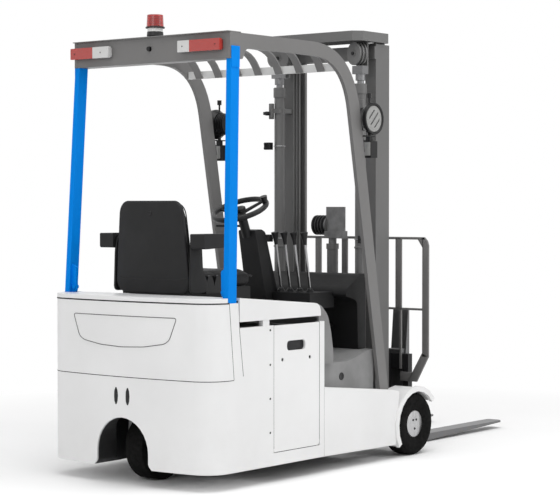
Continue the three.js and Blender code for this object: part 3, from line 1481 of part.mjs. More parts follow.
function fork(side) {
  const top = FORK_FLOOR_GAP + FORK_T;
  const shape = outline([
    [FORK_FACE, SHANK_TOP_Z],
    [FORK_FACE - 12, SHANK_TOP_Z],
    [SHANK_X, UPPER_BAR_Z[1] - 30],
    [SHANK_X, FORK_FLOOR_GAP, 40],
    [FORK_FACE + 240, FORK_FLOOR_GAP],
    [TIP_X, top - 10, 4],
    [TIP_X, top, 3],
    [FORK_FACE, top, 14],
  ]);
  const plan = outline([
    [SHANK_X - 50, FORK_Y - FORK_WIDTH / 2],
    [TIP_X, FORK_Y - FORK_WIDTH / 2, 38],
    [TIP_X, FORK_Y + FORK_WIDTH / 2, 38],
    [SHANK_X - 50, FORK_Y + FORK_WIDTH / 2],
  ]);
  const hook = outline([
    [SHANK_X + 8, UPPER_BAR_Z[1] - 28],
    [SHANK_X + 8, UPPER_BAR_Z[1] + 26],
    [BAR_X[0] + 8, UPPER_BAR_Z[1] + 26, 8],
    [BAR_X[0] + 8, UPPER_BAR_Z[1] + GAP],
    [SHANK_X, UPPER_BAR_Z[1] + GAP],
    [SHANK_X, UPPER_BAR_Z[1] - 28],
  ]);
  const [y0, y1] = [FORK_Y - FORK_WIDTH / 2, FORK_Y + FORK_WIDTH / 2];
  const blade = plateY(shape, y0, y1).intersect(plateZ(plan, 0, SHANK_TOP_Z + 1));
  return join(blade, plateY(hook, y0 + 8, y1 - 8)).translate([0, side > 0 ? 0 : -2 * FORK_Y, 0]);
}

// ---------------------------------------------------------------- assembly
add("counterweight", counterweight(), WHITE);
add("tail_cover", tailCover(), WHITE);
add("tail_deck", tailDeck(), WHITE);
add("battery", battery(), IRON);
add("chassis_frame", chassisFrame(), IRON);
add("floor_step", floorStep(), STEP_GREY);
add("knee_panel", kneePanel(), STEP_GREY);
add("front_cowl", frontCowl(), BLACK);
add("steering_column", steeringColumn(), BLACK);
add("control_levers", controlLevers(), BLACK);
add("pedals", pedals(), BLACK);
add("guard_rear_beam", guardRearBeam(), GREY);
add("guard_grille", guardGrille(), GREY);
add("beacon_base", beaconBase(), BLACK);
add("beacon_lens", beaconLens(), LENS);
add("hood", hood(), WHITE);
add("seat_base", seatBase(), BLACK);
add("seat_cushion", seatCushion(), CUSHION);
add("seat_back", seatBack(), CUSHION);
add("drive_bracket", driveBracket(), IRON, [DRIVE_X, 0, 0]);
add("drive_motor", driveMotor(), IRON, [DRIVE_X, 0, 0]);
add("drive_wheel", driveWheel(), RUBBER, [DRIVE_X, 0, DRIVE_WHEEL_R]);
add("outer_mast", outerMast(), GREY);
add("middle_mast", middleMast(), GREY);
add("inner_mast", innerMast(), GREY);
add("lift_crosshead", liftCrosshead(), GREY);
add("free_lift_cylinder", freeLiftCylinder(), GREY);
add("free_lift_head", freeLiftHead(), IRON);
add("carriage", carriage(), BLACK);
add("load_backrest", loadBackrest(), GREY);

for (const [name, side] of SIDES) {
  add(`side_beam_${name}`, sideBeam(side), WHITE);
  add(`battery_door_${name}`, batteryDoor(side), WHITE);
  add(`guard_post_${name}`, guardPost(side), BLUE);
  add(`guard_rail_${name}`, guardRail(side), GREY);
  add(`rear_lamp_${name}`, rearLamp(LAMP_Y[name]), RED);
  add(`work_lamp_${name}`, workLamp(side), BLACK);
  add(`armrest_${name}`, armrest(side), BLACK);
  add(`lift_cylinder_${name}`, liftCylinder(side), GREY);
  add(`lift_rod_${name}`, liftRod(side), CHROME);
  add(`tilt_barrel_${name}`, tiltBarrel(side), BLACK);
  add(`tilt_rod_${name}`, tiltRod(side), CHROME);
  add(`fork_${name}`, fork(side), GREY);
  const wheelPlace = [0, side * (WHEEL_Y - FRONT_TYRE_WIDTH / 2), FRONT_WHEEL_R];
  add(`front_tyre_${name}`, frontTyre(), RUBBER, wheelPlace);
  add(`front_hub_${name}`, frontHub(), HUB, wheelPlace);
  // The hub's closed face looks outboard on both sides.
  if (side < 0) truck.getObjectByName(`front_hub_${name}`).rotation.z = Math.PI;
}

add("steering_wheel", steeringWheel(), BLACK, WHEEL_CENTRE);
truck.getObjectByName("steering_wheel").rotation.y = -WHEEL_TILT;

export default model;
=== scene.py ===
# %% [markdown]
# # A three-wheel electric forklift
# The truck is a white steel body on three small wheels, with a grey mast in front, a grey and blue
# guard over the driver, and a black seat. A CAD model gives every hard piece its true place and
# joint. This lesson dresses that model: it gives each piece its finish, replaces the seat by a
# stuffed one, and adds the seams, screws, lenses, clamps and bars that a plain solid leaves out.
# Everything is in metres, with the forks along +X, the driver's left at +Y, and the floor at Z = 0.

# %% Load the model
import math

import bmesh
import bpy
import numpy as np
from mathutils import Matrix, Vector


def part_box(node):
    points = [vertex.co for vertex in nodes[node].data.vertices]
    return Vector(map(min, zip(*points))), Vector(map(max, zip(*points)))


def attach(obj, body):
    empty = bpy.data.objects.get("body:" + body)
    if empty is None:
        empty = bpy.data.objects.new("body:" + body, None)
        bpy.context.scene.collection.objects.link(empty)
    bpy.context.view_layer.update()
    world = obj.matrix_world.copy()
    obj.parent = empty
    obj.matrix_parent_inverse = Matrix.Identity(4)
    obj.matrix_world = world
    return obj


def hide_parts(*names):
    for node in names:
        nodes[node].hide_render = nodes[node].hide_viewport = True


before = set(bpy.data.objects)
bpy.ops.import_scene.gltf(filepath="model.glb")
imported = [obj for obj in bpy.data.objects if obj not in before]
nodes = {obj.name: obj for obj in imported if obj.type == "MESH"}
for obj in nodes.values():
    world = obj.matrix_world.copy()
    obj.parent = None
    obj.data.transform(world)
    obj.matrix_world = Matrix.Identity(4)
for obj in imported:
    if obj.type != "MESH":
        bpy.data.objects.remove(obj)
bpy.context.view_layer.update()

# %% [markdown]
# The long lens stands behind the truck, on its right, at about a seated driver's eye height. A
# camera turned by its three angles keeps upright lines almost upright. The heading is counted from
# the forks' direction, and the small pitch looks down a little.

# %% Camera
HEADING = math.radians(38.28)
PITCH = math.radians(1.513)

camera_data = bpy.data.cameras.new("camera")
camera_data.lens = 114.36
camera_data.sensor_width = 36.0
camera_data.clip_end = 200.0
camera = bpy.data.objects.new("camera", camera_data)
camera.location = (-7.6686, -5.8282, 1.333)
camera.rotation_euler = (math.pi / 2 - PITCH, 0.0, HEADING - math.pi / 2)
bpy.context.scene.collection.objects.link(camera)
bpy.context.scene.camera = camera
print("camera at", tuple(round(v, 2) for v in camera.location))

# %% [markdown]
# A material here is a small graph of nodes. Two helpers keep each graph short: one makes a node
# and sets its values and wires in one call, the other starts a material with its shader. A value
# that is the same all over a surface is written on the shader's own socket.

# %% Node helpers
def add_node(tree, kind, values=None, **settings):
    """Add one node. `values` maps an input to a number, a colour or another node's output."""
    made = tree.nodes.new(kind)
    for key, value in settings.items():
        setattr(made, key, value)
    for key, value in (values or {}).items():
        if isinstance(value, bpy.types.NodeSocket):
            tree.links.new(value, made.inputs[key])
        else:
            made.inputs[key].default_value = value
    return made


def start_material(name, **values):
    """A material whose shader has these plain values, with its tree and its shader."""
    material = bpy.data.materials.new(name)
    material.use_nodes = True
    tree = material.node_tree
    shader = tree.nodes["Principled BSDF"]
    for key, value in values.items():
        shader.inputs[key.replace("_", " ").title().replace("Ior", "IOR")].default_value = value
    return material, tree, shader


print("node starter ready")

# %% [markdown]
# A pattern reads each point's own place, so it stays on the piece when a joint turns it. Noise is a
# soft random field, `spread` stretches the part of it that matters, and a bump node turns a height
# into relief. Small steps of arithmetic join one pattern to another.

# %% Pattern helpers
def object_place(tree):
    return add_node(tree, "ShaderNodeTexCoord").outputs["Object"]


def noise(tree, place, scale, detail=4.0):
    values = {"Vector": place, "Scale": scale, "Detail": detail}
    return add_node(tree, "ShaderNodeTexNoise", values).outputs["Fac"]


def spread(tree, value, low, high, start=0.3, end=0.7):
    """Stretch a 0-to-1 pattern so that start..end becomes low..high."""
    values = {"Value": value, "From Min": start, "From Max": end, "To Min": low, "To Max": high}
    return add_node(tree, "ShaderNodeMapRange", values).outputs["Result"]


def blend_colours(tree, share, first, second):
    made = add_node(tree, "ShaderNodeMix", data_type="RGBA")
    tree.links.new(share, made.inputs[0])
    for socket, colour in ((made.inputs[6], first), (made.inputs[7], second)):
        if isinstance(colour, bpy.types.NodeSocket):
            tree.links.new(colour, socket)
        else:
            socket.default_value = colour
    return made.outputs[2]


def reckon(tree, operation, *values):
    """One step of arithmetic on patterns or numbers, such as MULTIPLY or SINE."""
    made = add_node(tree, "ShaderNodeMath", dict(enumerate(values)), operation=operation)
    return made.outputs[0]


def coordinate(tree, place, axis):
    return add_node(tree, "ShaderNodeSeparateXYZ", {"Vector": place}).outputs[axis]


def from_axle(tree, place, offset):
    """Centre a place by `offset`; give it and its distance from the axle line, in X and Z."""
    values = {"Vector": place, "Location": offset}
    centred = add_node(tree, "ShaderNodeMapping", values).outputs["Vector"]
    values = {0: centred, 1: (1.0, 0.0, 1.0)}
    flat = add_node(tree, "ShaderNodeVectorMath", values, operation="MULTIPLY")
    reach = add_node(tree, "ShaderNodeVectorMath", {0: flat.outputs[0]}, operation="LENGTH")
    return centred, reach.outputs["Value"]


def raise_surface(tree, shader, height, distance, strength=1.0, under=None):
    values = {"Height": height, "Distance": distance, "Strength": strength}
    if under is not None:
        values["Normal"] = under
    bump = add_node(tree, "ShaderNodeBump", values)
    tree.links.new(bump.outputs["Normal"], shader.inputs["Normal"])
    return bump.outputs["Normal"]


def tint(colour, amount):
    """The colour made darker or lighter by a factor, with its alpha."""
    return tuple(min(1.0, c * amount) for c in colour[:3]) + (1.0,)


print("node helpers ready")

# %% [markdown]
# Most new pieces are one of four surfaces, each a function of two numbers on a grid: a lathe turns
# a profile round an axis, a tube carries a circle along a path, a block carries a rounded
# rectangle from one end cap to the other, and a pillow is a box whose edges are all soft. numpy
# works out every point at once, and the two helpers below join the points into faces.

# %% Mesh helpers
FORWARD, BACKWARD, LEFT, UP = (1.0, 0.0, 0.0), (-1.0, 0.0, 0.0), (0.0, 1.0, 0.0), (0.0, 0.0, 1.0)


def grid_faces(rows, columns, wrap_rows=False, wrap_columns=False):
    """Corner numbers of the quads between the points of a grid, wrapping round where asked."""
    i = np.arange(rows if wrap_rows else rows - 1)
    j = np.arange(columns if wrap_columns else columns - 1)
    a, b = np.meshgrid(i, j, indexing="ij")
    c, d = (a + 1) % rows, (b + 1) % columns
    quads = [a * columns + b, c * columns + b, c * columns + d, a * columns + d]
    return np.stack(quads, axis=-1).reshape(-1, 4)


def put_mesh(name, points, faces, material, crease=35):
    """A new object from points and faces; doubles are merged and the faces turned outwards."""
    mesh = bpy.data.meshes.new(name)
    mesh.from_pydata(np.asarray(points, float).reshape(-1, 3).tolist(), [], faces.tolist())
    tidy = bmesh.new()
    tidy.from_mesh(mesh)
    bmesh.ops.remove_doubles(tidy, verts=tidy.verts, dist=1e-6)
    bmesh.ops.recalc_face_normals(tidy, faces=tidy.faces)
    tidy.to_mesh(mesh)
    tidy.free()
    mesh.polygons.foreach_set("use_smooth", np.ones(len(mesh.polygons), dtype=bool))
    mesh.set_sharp_from_angle(angle=math.radians(crease))
    mesh.materials.append(material)
    made = bpy.data.objects.new(name, mesh)
    bpy.context.scene.collection.objects.link(made)
    return made


print("mesh maker ready")

# %% [markdown]
# A turned piece is a profile, a list of radius and height, carried round an axis. A pipe, a seam or
# a cord is a circle carried along a path. In both, one multiplication of whole arrays places every
# point.

# %% Turned pieces and tubes
def unit(vectors):
    vectors = np.asarray(vectors, float)
    return vectors / np.linalg.norm(vectors, axis=-1, keepdims=True)


def lathe(name, centres, axis, profile, material, sides=28):
    """Turned pieces, one at each centre: centre + along * axis + radius * (cos a, sin a) across."""
    centres = np.atleast_2d(np.asarray(centres, float))
    axis = unit(axis)
    first = unit(np.cross(axis, UP if abs(axis[2]) < 0.9 else FORWARD))
    second = np.cross(axis, first)
    radius, along = np.array(profile, float).T
    angle = np.linspace(0.0, 2.0 * math.pi, sides, endpoint=False)
    across = np.cos(angle)[:, None] * first + np.sin(angle)[:, None] * second
    ring = radius[:, None, None] * across + along[:, None, None] * axis
    points = centres[:, None, None, :] + ring
    faces = grid_faces(len(profile), sides, wrap_columns=True)
    step = len(profile) * sides
    faces = (faces + step * np.arange(len(centres))[:, None, None]).reshape(-1, 4)
    return put_mesh(name, points, faces, material)


def tube(name, path, radius, material, across=UP, sides=10, closed=False):
    """A circle carried along a path: path + radius * (cos a * side + sin a * up).

    `side` is square to the path and to `across`, so the circle never twists."""
    path = np.asarray(path, float)
    if closed:
        ahead = np.roll(path, -1, axis=0) - np.roll(path, 1, axis=0)
    else:
        ahead = np.gradient(path, axis=0)
    ahead = unit(ahead)
    side = unit(np.cross(ahead, across))
    up = np.cross(side, ahead)
    angle = np.linspace(0.0, 2.0 * math.pi, sides, endpoint=False)[None, :, None]
    reach = np.broadcast_to(radius, len(path))[:, None, None]
    ring = path[:, None] + reach * (np.cos(angle) * side[:, None] + np.sin(angle) * up[:, None])
    if not closed:
        ends = [np.repeat(path[i : i + 1, None], sides, axis=1) for i in (0, len(path) - 1)]
        ring = np.concatenate([ends[0], ring, ends[1]])
    faces = grid_faces(len(ring), sides, wrap_rows=closed, wrap_columns=True)
    return put_mesh(name, ring, faces, material)


print("lathe and tube ready")

# %% [markdown]
# A folded plate or a moulded box is an outline carried straight from one end to the other. Its ends
# shrink along a quarter circle, so the edge is round there and catches the light as a real one.

# %% Rounded blocks
def rounded_outline(width, height, corner, steps=6):
    """A rectangle whose corners are quarter circles, as points [u, v] anticlockwise."""
    quarter = np.linspace(0.0, math.pi / 2, steps)
    turn = quarter[None] + np.arange(4)[:, None] * math.pi / 2
    signs = np.array([[1, 1], [-1, 1], [-1, -1], [1, -1]])
    centre = signs * (width / 2 - corner, height / 2 - corner)
    return (centre[:, None] + corner * np.stack([np.cos(turn), np.sin(turn)], -1)).reshape(-1, 2)


AXES = {"X": (1, 2, 0), "Y": (0, 2, 1), "Z": (0, 1, 2)}


def loft(name, outline, ends, edge, material, axis="X", bend=None):
    """An outline carried from one end to the other along an axis.

    Near each end it shrinks towards its middle along a quarter circle of radius `edge`, and the
    caps close at that middle. `bend` may move the finished points."""
    outline = np.asarray(outline, float)
    middle = (outline.max(0) + outline.min(0)) / 2
    half = (outline.max(0) - outline.min(0)) / 2
    turn = np.linspace(0.0, math.pi / 2, 4)
    low, high = ends
    depth = edge * (1 - np.cos(turn))
    pull = edge * (1 - np.sin(turn))
    levels = np.concatenate([[low], low + depth, high - depth[::-1], [high]])
    shrink = np.concatenate([[9.0], pull, pull[::-1], [9.0]])
    scale = np.clip(1.0 - shrink[:, None] / half, 0.0, 1.0)
    flat = middle + (outline - middle)[None] * scale[:, None]
    points = np.empty(flat.shape[:2] + (3,))
    u, v, w = AXES[axis]
    points[..., u], points[..., v] = flat[..., 0], flat[..., 1]
    points[..., w] = levels[:, None]
    if bend is not None:
        points = bend(points)
    return put_mesh(name, points, grid_faces(*points.shape[:2], wrap_columns=True), material)


def block(name, centre, size, material, axis="X", corner=0.003, edge=0.001):
    """A rounded block: `loft` of a rounded rectangle, at `centre`, `size` along X, Y and Z."""
    u, v, w = AXES[axis]
    outline = rounded_outline(size[u], size[v], corner) + (centre[u], centre[v])
    ends = (centre[w] - size[w] / 2, centre[w] + size[w] / 2)
    return loft(name, outline, ends, edge, material, axis)


print("loft and block ready")

# %% [markdown]
# A path through a few corners is made even and rounded by averaging each point with its neighbours.
# Each finished piece is then told which body of the model carries it.

# %% Paths and places
def even_path(corners, count, rounding=5, closed=True):
    """Points spaced evenly along a polygon, then averaged with their neighbours."""
    corners = np.asarray(corners, float)
    if closed:
        corners = np.concatenate([corners, corners[:1]])
    steps = np.linalg.norm(np.diff(corners, axis=0), axis=1)
    place = np.concatenate([[0.0], np.cumsum(steps)])
    at = np.linspace(0.0, place[-1], count, endpoint=not closed)
    path = np.stack([np.interp(at, place, column) for column in corners.T], axis=-1)
    shifts = np.arange(-rounding, rounding + 1)
    if closed:
        return np.mean([np.roll(path, s, axis=0) for s in shifts], axis=0)
    inner = np.clip(np.arange(count)[None] + shifts[:, None], 0, count - 1)
    smooth = path[inner].mean(axis=0)
    smooth[0], smooth[-1] = path[0], path[-1]
    return smooth


def fit(piece, body):
    """The piece moves with a body of the model."""
    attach(piece, body)
    return piece


SIDES = {"left": 1.0, "right": -1.0}
print("mesh helpers ready")

# %% [markdown]
# Enamel on steel is never one flat colour. Three patterns of different size make it: broad clouds
# shift the colour by a few hundredths, middle-sized ones change the gloss, and a fine ripple, the
# orange peel that a spray gun leaves, bends the light. Dust gathers near the floor, so the height
# of a point darkens the lowest part. Castings get a coarser ripple from their sand mould.

# %% Painted steel
DUST = (0.42, 0.40, 0.37, 1.0)
PEEL_RIPPLE = 420.0


def enamel(name, colour, gloss, peel=0.00006, ripple=PEEL_RIPPLE, shine=0.5):
    """Sprayed enamel: colour = clouds of two tints, with dust that fades out above the floor."""
    material, tree, shader = start_material(
        name, coat_weight=0.2 * shine, coat_roughness=0.25, specular_ior_level=shine
    )
    place = object_place(tree)
    clouds = spread(tree, noise(tree, place, 2.2, 3.0), 0.0, 1.0)
    paint = blend_colours(tree, clouds, tint(colour, 0.955), tint(colour, 1.03))
    low = spread(tree, coordinate(tree, place, "Z"), 0.13, 0.0, 0.03, 0.42)
    patches = spread(tree, noise(tree, place, 9.0, 6.0), 0.0, 1.0, 0.35, 0.75)
    dusty = blend_colours(tree, reckon(tree, "MULTIPLY", low, patches), paint, DUST)
    tree.links.new(dusty, shader.inputs["Base Color"])
    rough = spread(tree, noise(tree, place, 14.0, 5.0), gloss - 0.05, gloss + 0.09)
    tree.links.new(rough, shader.inputs["Roughness"])
    raise_surface(tree, shader, noise(tree, place, ripple, 2.0), peel)
    return material


print("enamel recipe ready")

# %% [markdown]
# Some castings and covers wear two colours. The border is a coordinate, so a short ramp on that
# coordinate decides which colour shows, and no painted picture is needed.

# %% Second colours
def step_at(tree, place, axis, edge, width=0.0006):
    """0 below a coordinate and 1 above it, with a short ramp between."""
    return spread(tree, coordinate(tree, place, axis), 0.0, 1.0, edge - width, edge + width)


def overpaint(material, colour, *masks):
    """Lay another colour over the material's own where every mask is 1."""
    tree = material.node_tree
    shader = tree.nodes["Principled BSDF"]
    share = masks[0]
    for mask in masks[1:]:
        share = reckon(tree, "MULTIPLY", share, mask)
    under = shader.inputs["Base Color"].links[0].from_socket
    tree.links.new(blend_colours(tree, share, under, colour), shader.inputs["Base Color"])


def overpaint_past(material, colour, *edges):
    """Overpaint where a point is past every edge.

    An edge is an axis, a coordinate, 1 for above it or -1 for below it, and maybe a ramp width."""
    tree = material.node_tree
    place = object_place(tree)
    masks = []
    for axis, edge, way, *width in edges:
        mask = step_at(tree, place, axis, edge, *width)
        masks.append(mask if way > 0 else reckon(tree, "SUBTRACT", 1.0, mask))
    overpaint(material, colour, *masks)


print("second colour recipe ready")

# %% [markdown]
# The truck wears white on the body, blue on the rear posts, and greys on the guard and the mast.
# The counterweight is white too, but cast iron gives it a coarser ripple.

# %% Enamels of the truck
white_enamel = enamel("white_enamel", (0.79, 0.79, 0.79), 0.36)
white_casting = enamel("white_casting", (0.785, 0.785, 0.785), 0.42, peel=0.00022, ripple=130.0)
# Inside the drive wheel's bay the casting is coloured black, as painted shade of the bay.
REAR_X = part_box("counterweight")[0][0]
BAY_HALF_WIDTH, BAY_TOP = 0.21, 0.512
overpaint_past(
    white_casting,
    (0.020, 0.020, 0.021, 1.0),
    ("X", REAR_X + 0.013, 1, 0.003),
    ("Y", -BAY_HALF_WIDTH, 1),
    ("Y", BAY_HALF_WIDTH, -1),
    ("Z", BAY_TOP, -1),
)
blue_enamel = enamel("blue_enamel", (0.0, 0.225, 0.76), 0.5, shine=0.05)
grey_enamel = enamel("grey_enamel", (0.155, 0.152, 0.150), 0.42)
# Pale grey on the crossbar is a painted highlight of its lit top; slats stay as dark as the guard.
grille_highlight_enamel = enamel("grille_highlight_enamel", (0.155, 0.152, 0.150), 0.42)
crossbar_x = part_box("guard_grille")[1][0] - 0.0088
overpaint_past(grille_highlight_enamel, (0.66, 0.66, 0.65, 1.0), ("X", crossbar_x, 1, 0.0002))
mast_enamel = enamel("mast_enamel", (0.120, 0.119, 0.118), 0.38, peel=0.00003)
black_enamel = enamel("black_enamel", (0.014, 0.014, 0.015), 0.42, shine=0.25)
print("enamels:", [m.name for m in bpy.data.materials if "enamel" in m.name])

# %% [markdown]
# Moulded plastic carries the grain of its mould: small round pebbles that scatter light. Distance
# to the nearest of many scattered points (Voronoi) gives the pebbles, and a wide noise keeps the
# sheen from being even where hands and boots have rubbed it.

# %% Moulded plastic
def pebbles(tree, place, scale):
    values = {"Vector": place, "Scale": scale}
    return add_node(tree, "ShaderNodeTexVoronoi", values).outputs["Distance"]


def moulded(name, colour, gloss, grain=900.0, depth=0.00012):
    """Plastic with a pebbled mould grain: height = distance to the nearest scattered point."""
    material, tree, shader = start_material(name, specular_ior_level=0.26)
    place = object_place(tree)
    worn = spread(tree, noise(tree, place, 6.0, 5.0), 0.0, 1.0, 0.4, 0.7)
    paint = blend_colours(tree, worn, colour, tint(colour, 1.35))
    tree.links.new(paint, shader.inputs["Base Color"])
    rough = spread(tree, noise(tree, place, 11.0, 4.0), gloss + 0.06, gloss - 0.05)
    tree.links.new(rough, shader.inputs["Roughness"])
    raise_surface(tree, shader, pebbles(tree, place, grain), depth, 0.6)
    return material


black_plastic = moulded("black_plastic", (0.010, 0.010, 0.0105, 1.0), 0.5)
cowl_plastic = moulded("cowl_plastic", (0.0045, 0.0045, 0.0048, 1.0), 0.55)
smooth_plastic = moulded("smooth_plastic", (0.009, 0.009, 0.0095, 1.0), 0.34, 1500.0, 0.00004)
grey_plastic = moulded("grey_plastic", (0.20, 0.20, 0.20, 1.0), 0.55, 650.0, 0.0002)
print("plastics:", [m.name for m in bpy.data.materials if "plastic" in m.name])

# %% [markdown]
# Bare and cast metal sit under the truck and in its mast. A casting is dark, rough and uneven. A
# lift rod is hard chrome, ground round: fine rings across its length, so the grain is noise that
# is stretched the other way. The forks are dark paint that the pallets have scratched along.

# %% Metals
def casting(name, colour, gloss=0.62):
    """Dark casting: noise of two sizes for the sand texture, and a rust-free mottle, darker and
    lighter.
    """
    material, tree, shader = start_material(name, metallic=0.25)
    place = object_place(tree)
    mottled = spread(tree, noise(tree, place, 18.0, 6.0), 0.0, 1.0)
    paint = blend_colours(tree, mottled, tint(colour, 0.7), tint(colour, 1.3))
    tree.links.new(paint, shader.inputs["Base Color"])
    rough = spread(tree, noise(tree, place, 40.0), gloss - 0.1, gloss + 0.12)
    tree.links.new(rough, shader.inputs["Roughness"])
    raise_surface(tree, shader, noise(tree, place, 220.0, 3.0), 0.0004)
    return material


def ground_metal(name, colour, gloss, stretch, depth=0.00002):
    """Ground metal: noise drawn out along one direction, for its grain and its sheen."""
    material, tree, shader = start_material(name, metallic=1.0)
    place = object_place(tree)
    drawn = add_node(tree, "ShaderNodeMapping", {"Vector": place, "Scale": stretch})
    grain = noise(tree, drawn.outputs["Vector"], 1.0, 6.0)
    share = spread(tree, grain, 0.0, 1.0)
    shade = blend_colours(tree, share, tint(colour, 0.86), tint(colour, 1.1))
    tree.links.new(shade, shader.inputs["Base Color"])
    rough = spread(tree, grain, gloss - 0.05, gloss + 0.1)
    tree.links.new(rough, shader.inputs["Roughness"])
    raise_surface(tree, shader, grain, depth)
    return material


dark_casting = casting("dark_casting", (0.030, 0.030, 0.031))
grey_casting = casting("grey_casting", (0.42, 0.42, 0.42), 0.5)
# The free-lift head is a grey plate, with black hose reels on its left.
head_casting = casting("head_casting", (0.17, 0.17, 0.17), 0.5)
overpaint_past(head_casting, (0.025, 0.025, 0.026, 1.0), ("Y", 0.0640, 1))
battery_steel = casting("battery_steel", (0.30, 0.30, 0.30), 0.5)
chrome_rod = ground_metal("chrome_rod", (0.56, 0.57, 0.59), 0.16, (40.0, 40.0, 900.0))
dull_rod = ground_metal("dull_rod", (0.22, 0.22, 0.225), 0.34, (40.0, 40.0, 900.0))
bright_steel = ground_metal("bright_steel", (0.50, 0.50, 0.505), 0.27, (300.0, 300.0, 14.0))
fork_steel = ground_metal("fork_steel", (0.19, 0.19, 0.193), 0.42, (9.0, 420.0, 420.0), 0.00005)
print("metals:", chrome_rod.name, dull_rod.name, bright_steel.name, fork_steel.name)

# %% [markdown]
# A cushion tyre is solid rubber: no tread, but fine rings that its mould left, and grey dust that
# the floor leaves on it. The distance from the axle decides the rings, so the pattern is first
# moved to the axle's centre and then measured across it.

# %% Tyre rubber
RING_TURNS = 900.0  # radians of the wave for each metre from the axle


def tyre_rubber(name, axle):
    """Rubber with rings: height = a wave of the distance from the axle line, in X and Z."""
    material, tree, shader = start_material(name, specular_ior_level=0.05)
    place = object_place(tree)
    radius = from_axle(tree, place, axle)[1]
    rings = reckon(tree, "SINE", reckon(tree, "MULTIPLY", radius, RING_TURNS))
    grit = spread(tree, noise(tree, place, 60.0, 6.0), 0.0, 1.0, 0.35, 0.75)
    paint = blend_colours(tree, grit, (0.005, 0.005, 0.005, 1.0), (0.012, 0.0118, 0.0115, 1.0))
    tree.links.new(paint, shader.inputs["Base Color"])
    rough = spread(tree, noise(tree, place, 25.0), 0.62, 0.85)
    tree.links.new(rough, shader.inputs["Roughness"])
    under = raise_surface(tree, shader, rings, 0.00012, 0.5)
    raise_surface(tree, shader, noise(tree, place, 300.0), 0.00015, 0.6, under)
    return material


def axle_offset(node):
    """The vector that carries a wheel's centre to the origin."""
    low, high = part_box(node)
    return tuple(-(a + b) / 2 for a, b in zip(low, high))


front_rubber = tyre_rubber("front_rubber", axle_offset("front_tyre_left"))
drive_rubber = tyre_rubber("drive_rubber", axle_offset("drive_wheel"))
print("drive wheel's centre:", [round(-v, 3) for v in axle_offset("drive_wheel")])

# %% [markdown]
# A lamp's cover is clear moulded plastic over a bright reflector. Close ribs inside it break the
# light up. Only a little light passes through here, which is enough to make the edges glow, and
# the ribs are a sine of one coordinate.

# %% Lamp covers
FULL_TURN = 6.2832
PALE_LENS = (0.72, 0.72, 0.71, 1.0)
LAMP_X, LAMP_Z = -0.1815, 1.776


def lens(name, colour, ribs, axis="Y"):
    """Ribbed lamp cover: height = sine of one coordinate times the rib count per metre."""
    material, tree, shader = start_material(
        name, roughness=0.12, transmission_weight=0.18, coat_weight=0.5, coat_roughness=0.05
    )
    place = object_place(tree)
    turns = reckon(tree, "MULTIPLY", coordinate(tree, place, axis), ribs * FULL_TURN)
    wave = reckon(tree, "SINE", turns)
    share = spread(tree, wave, 0.0, 1.0, -1.0, 1.0)
    paint = blend_colours(tree, share, tint(colour, 0.8), tint(colour, 1.12))
    tree.links.new(paint, shader.inputs["Base Color"])
    raise_surface(tree, shader, wave, 0.0004, 0.7)
    return material


def two_colour_lens(name, edge, red_side):
    """A tail lamp: red on one side of `edge` (a Y place) and clear white on the other."""
    material = lens(name, (0.50, 0.040, 0.030), 160.0)
    overpaint_past(material, PALE_LENS, ("Y", edge, -red_side))
    return material


left_tail_lens = two_colour_lens("left_tail_lens", 0.353, 1)
right_tail_lens = two_colour_lens("right_tail_lens", -0.280, -1)
clear_lens = lens("clear_lens", (0.34, 0.34, 0.33), 160.0)
beacon_glass = lens("beacon_glass", (0.55, 0.018, 0.014), 90.0, "Z")
beacon_glass.node_tree.nodes["Principled BSDF"].inputs["Transmission Weight"].default_value = 0.55
# A dark red core inside the beacon's glass is painted shade of the lamp's inside.
beacon_inner_shade = moulded("beacon_inner_shade", (0.05, 0.004, 0.004, 1.0), 0.3, 900.0, 0.00003)

# The beacon's foot is black, with a white ring under the glass.
beacon_foot = moulded("beacon_foot", (0.019, 0.019, 0.020, 1.0), 0.4)
overpaint_past(beacon_foot, (0.78, 0.78, 0.77, 1.0), ("Z", 2.1712, 1), ("Z", 2.1874, -1))
print("tail lamp lenses:", left_tail_lens.name, right_tail_lens.name)

# %% [markdown]
# A work lamp's glass has the same ribs, and dark strips that cross it on a slant: a cosine of X
# minus Z, which shows only within the round face.

# %% Work lamp glass
def lamp_glass(name, colour, dark, pitch):
    """A work lamp's face: pale ribbed glass, with dark strips along one diagonal of X and Z."""
    material = lens(name, colour, 260.0, "Z")
    tree = material.node_tree
    centred, reach = from_axle(tree, object_place(tree), (-LAMP_X, 0.0, -LAMP_Z))
    parts = add_node(tree, "ShaderNodeSeparateXYZ", {"Vector": centred}).outputs
    across = reckon(tree, "SUBTRACT", parts["X"], parts["Z"])
    wave = reckon(tree, "COSINE", reckon(tree, "MULTIPLY", across, FULL_TURN / pitch))
    inside = spread(tree, reach, 1.0, 0.0, 0.044, 0.047)
    overpaint(material, dark, spread(tree, wave, 0.0, 1.0, 0.55, 0.7), inside)
    return material


lamp_face = lamp_glass("lamp_face", (0.36, 0.36, 0.35), (0.02, 0.02, 0.02, 1.0), 0.046)
print("lenses:", [m.name for m in bpy.data.materials if "lens" in m.name])

# %% [markdown]
# Each finish now goes to the pieces of the model that wear it. A table with one line for each
# finish is easy to read against the real truck, and shows at once if a piece has none.

